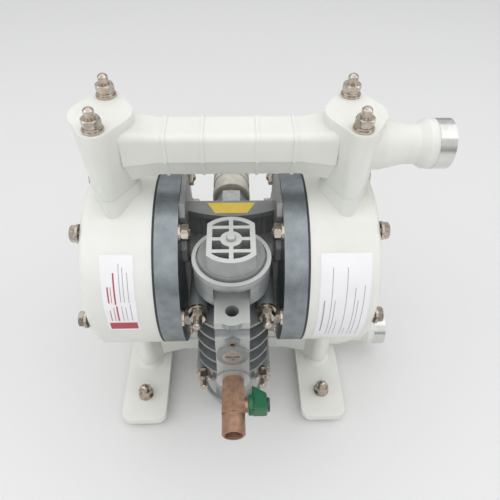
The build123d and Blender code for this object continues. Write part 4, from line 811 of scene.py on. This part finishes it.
@dataclass(frozen=True)
class ThreadSet:
    """Equal threads of one material, made as one piece."""

    name: str
    runs: tuple[ThreadRun, ...]
    finish: Finish
    slot: Slot

    def build(self) -> bpy.types.Object:
        """Make all threads of the set.

        Returns:
            The piece.
        """
        shape = bmesh.new()
        for run in self.runs:
            run.add_to(shape)
        return finish_piece(shape, self.name, (self.finish,), Body.FRAME, smooth=True)


def stud_thread(start: Point, axis: Point, length: float) -> ThreadRun:
    """Describe the end of a 6 mm stud with its 1 mm thread.

    Args:
        start: Where the thread begins, on the stud's axis.
        axis: The way it runs.
        length: How long it is.

    Returns:
        The thread.
    """
    return ThreadRun(start, axis, length, root=2.94, crest=3.12, pitch=1.0)


THREADS: tuple[ThreadSet, ...] = (
    ThreadSet("manifold_stud_threads",
              tuple(stud_thread((x, y, 254.7), (0, 0, 1), 4.4)
                    for x in (-75, 75) for y in (-20, 20)),
              STAINLESS, Slot.STAINLESS),
    ThreadSet("foot_stud_threads",
              tuple(stud_thread((x, y, 20.0), (0, 0, 1), 4.4)
                    for x in (-75, 75) for y in (-54, 54)),
              STAINLESS, Slot.STAINLESS),
    ThreadSet("valve_stud_threads",
              tuple(stud_thread((x, -68.0, z), (0, -1, 0), 5.8)
                    for x in (-22.5, 22.5) for z in (58.5, 136.5)),
              STAINLESS, Slot.STAINLESS),
    # half-inch, eighth-inch and quarter-inch pipe threads, each at its real pitch
    ThreadSet("pipe_port_threads",
              tuple(ThreadRun((134.9, 0, z), (-1, 0, 0), length=15.0, root=9.33, crest=8.75,
                              pitch=1.814, steps=40)
                    for z in (224.5, 29.1)),
              POLYPROPYLENE, Slot.NATURAL_PLASTIC),
    ThreadSet("pad_port_thread",
              (ThreadRun((0, -75.5, 154.8), (0, 0, -1), length=12.0, root=4.31, crest=4.0,
                         pitch=0.907),),
              VALVE_CASTING, Slot.CAST_ALUMINIUM),
    ThreadSet("shutoff_port_thread",
              (ThreadRun((0, -124.8, 90.0), (0, 1, 0), length=8.6, root=5.75, crest=5.3,
                         pitch=1.337),),
              BRONZE, Slot.BRONZE),
)


# ------------------------------------------------------------------ studio
@dataclass(frozen=True)
class Camera:
    """A camera placed by its angles in degrees and its eye in metres."""

    lens_mm: float = 33.664
    sensor_mm: float = 36.0
    pitch: float = 45.39            # downwards
    yaw: float = 2.58               # to the right of straight ahead
    roll: float = 1.15
    eye: Point = (0.00241, -0.24982, 0.38482)
    near: float = 0.01

    def build(self) -> None:
        """Place the camera and make it the scene's."""
        pitch, yaw, roll = radians(self.pitch), radians(self.yaw), radians(self.roll)
        ahead = Vector((sin(yaw) * cos(pitch), cos(yaw) * cos(pitch), -sin(pitch)))
        right = Vector((cos(yaw), -sin(yaw), 0))
        up = right.cross(ahead)
        turned_right = cos(roll) * right + sin(roll) * up
        turned_up = cos(roll) * up - sin(roll) * right
        data = bpy.data.cameras.new("camera")
        data.lens = self.lens_mm
        data.sensor_width = self.sensor_mm
        data.sensor_fit = "HORIZONTAL"
        data.clip_start = self.near
        camera = bpy.data.objects.new("camera", data)
        turn = Matrix((turned_right, turned_up, -ahead)).transposed()
        camera.matrix_world = Matrix.Translation(self.eye) @ turn.to_4x4()
        bpy.context.scene.collection.objects.link(camera)
        bpy.context.scene.camera = camera


@dataclass(frozen=True)
class SoftLamp:
    """A large square lamp, in metres and watts, turned to the middle of the pump."""

    name: str
    place: Point
    size: float
    power: float
    aim: Point = (0.0, 0.0, 0.12)

    def build(self) -> None:
        """Place the lamp."""
        data = bpy.data.lights.new(self.name, "AREA")
        data.shape = "SQUARE"
        data.size = self.size
        data.energy = self.power
        lamp = bpy.data.objects.new(self.name, data)
        lamp.rotation_mode = "QUATERNION"
        lamp.rotation_quaternion = (Vector(self.aim) - Vector(self.place)).to_track_quat("-Z", "Y")
        lamp.location = self.place
        bpy.context.scene.collection.objects.link(lamp)


@dataclass(frozen=True)
class Studio:
    """Camera, floor, lamps and surround."""

    camera: Camera = Camera()
    floor_colour: str = "#E1E1E0"
    floor_half: float = 6.0         # metres from the middle to an edge
    floor_roughness: float = 0.7
    lamps: tuple[SoftLamp, ...] = (
        SoftLamp("top", (0.0, 0.0, 1.45), size=1.8, power=6.2),
        SoftLamp("front", (0.0, -1.5, 1.15), size=1.4, power=3.8),
        SoftLamp("left", (-1.1, -0.3, 0.9), size=1.0, power=3.4),
        SoftLamp("right", (1.1, -0.2, 1.0), size=1.0, power=3.4))
    # bright overhead and darker towards the walls, so that metal has something to show
    surround: tuple[tuple[float, str], ...] = ((0.0, "#A9ABAD"), (0.45, "#FAFBFC"))
    surround_strength: float = 0.75

    def build(self) -> None:
        """Make everything."""
        bpy.context.scene.view_settings.view_transform = "Standard"
        self.camera.build()
        self.floor()
        for lamp in self.lamps:
            lamp.build()
        self.world()

    def floor(self) -> None:
        """Lay a plain pale floor."""
        mesh = bpy.data.meshes.new("floor")
        shape = bmesh.new()
        bmesh.ops.create_grid(shape, x_segments=1, y_segments=1, size=self.floor_half)
        shape.to_mesh(mesh)
        shape.free()
        floor = bpy.data.objects.new("floor", mesh)
        bpy.context.scene.collection.objects.link(floor)
        made = bpy.data.materials.new("pale_floor")
        made.use_nodes = True
        shader = made.node_tree.nodes["Principled BSDF"]
        shader.inputs["Base Color"].default_value = linear(self.floor_colour)
        shader.inputs["Roughness"].default_value = self.floor_roughness
        mesh.materials.append(made)

    def world(self) -> None:
        """Surround the scene with a plain room."""
        world = bpy.data.worlds.new("surround")
        bpy.context.scene.world = world
        world.use_nodes = True
        tree = world.node_tree
        back = tree.nodes["Background"]
        direction = add_node(tree, "ShaderNodeSeparateXYZ",
                             {0: add_node(tree, "ShaderNodeTexCoord").outputs["Generated"]})
        colour = ramp(tree, direction.outputs["Z"], self.surround)
        tree.links.new(colour, back.inputs["Color"])
        back.inputs["Strength"].default_value = self.surround_strength


def main() -> None:
    """Build the studio and the pump's pieces in order."""
    logging.basicConfig(level=logging.INFO, format="%(name)s: %(message)s")
    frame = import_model()
    Studio().build()
    dress_frame(frame["nodes"])
    LEFT_LABEL.build()
    RIGHT_LABEL.build()
    PlateSticker().build()
    ShutoffLever().build()
    SideWebs().build()
    ButtonSpring().build()
    for threads in THREADS:
        threads.build()


if __name__ == "__main__":
    main()
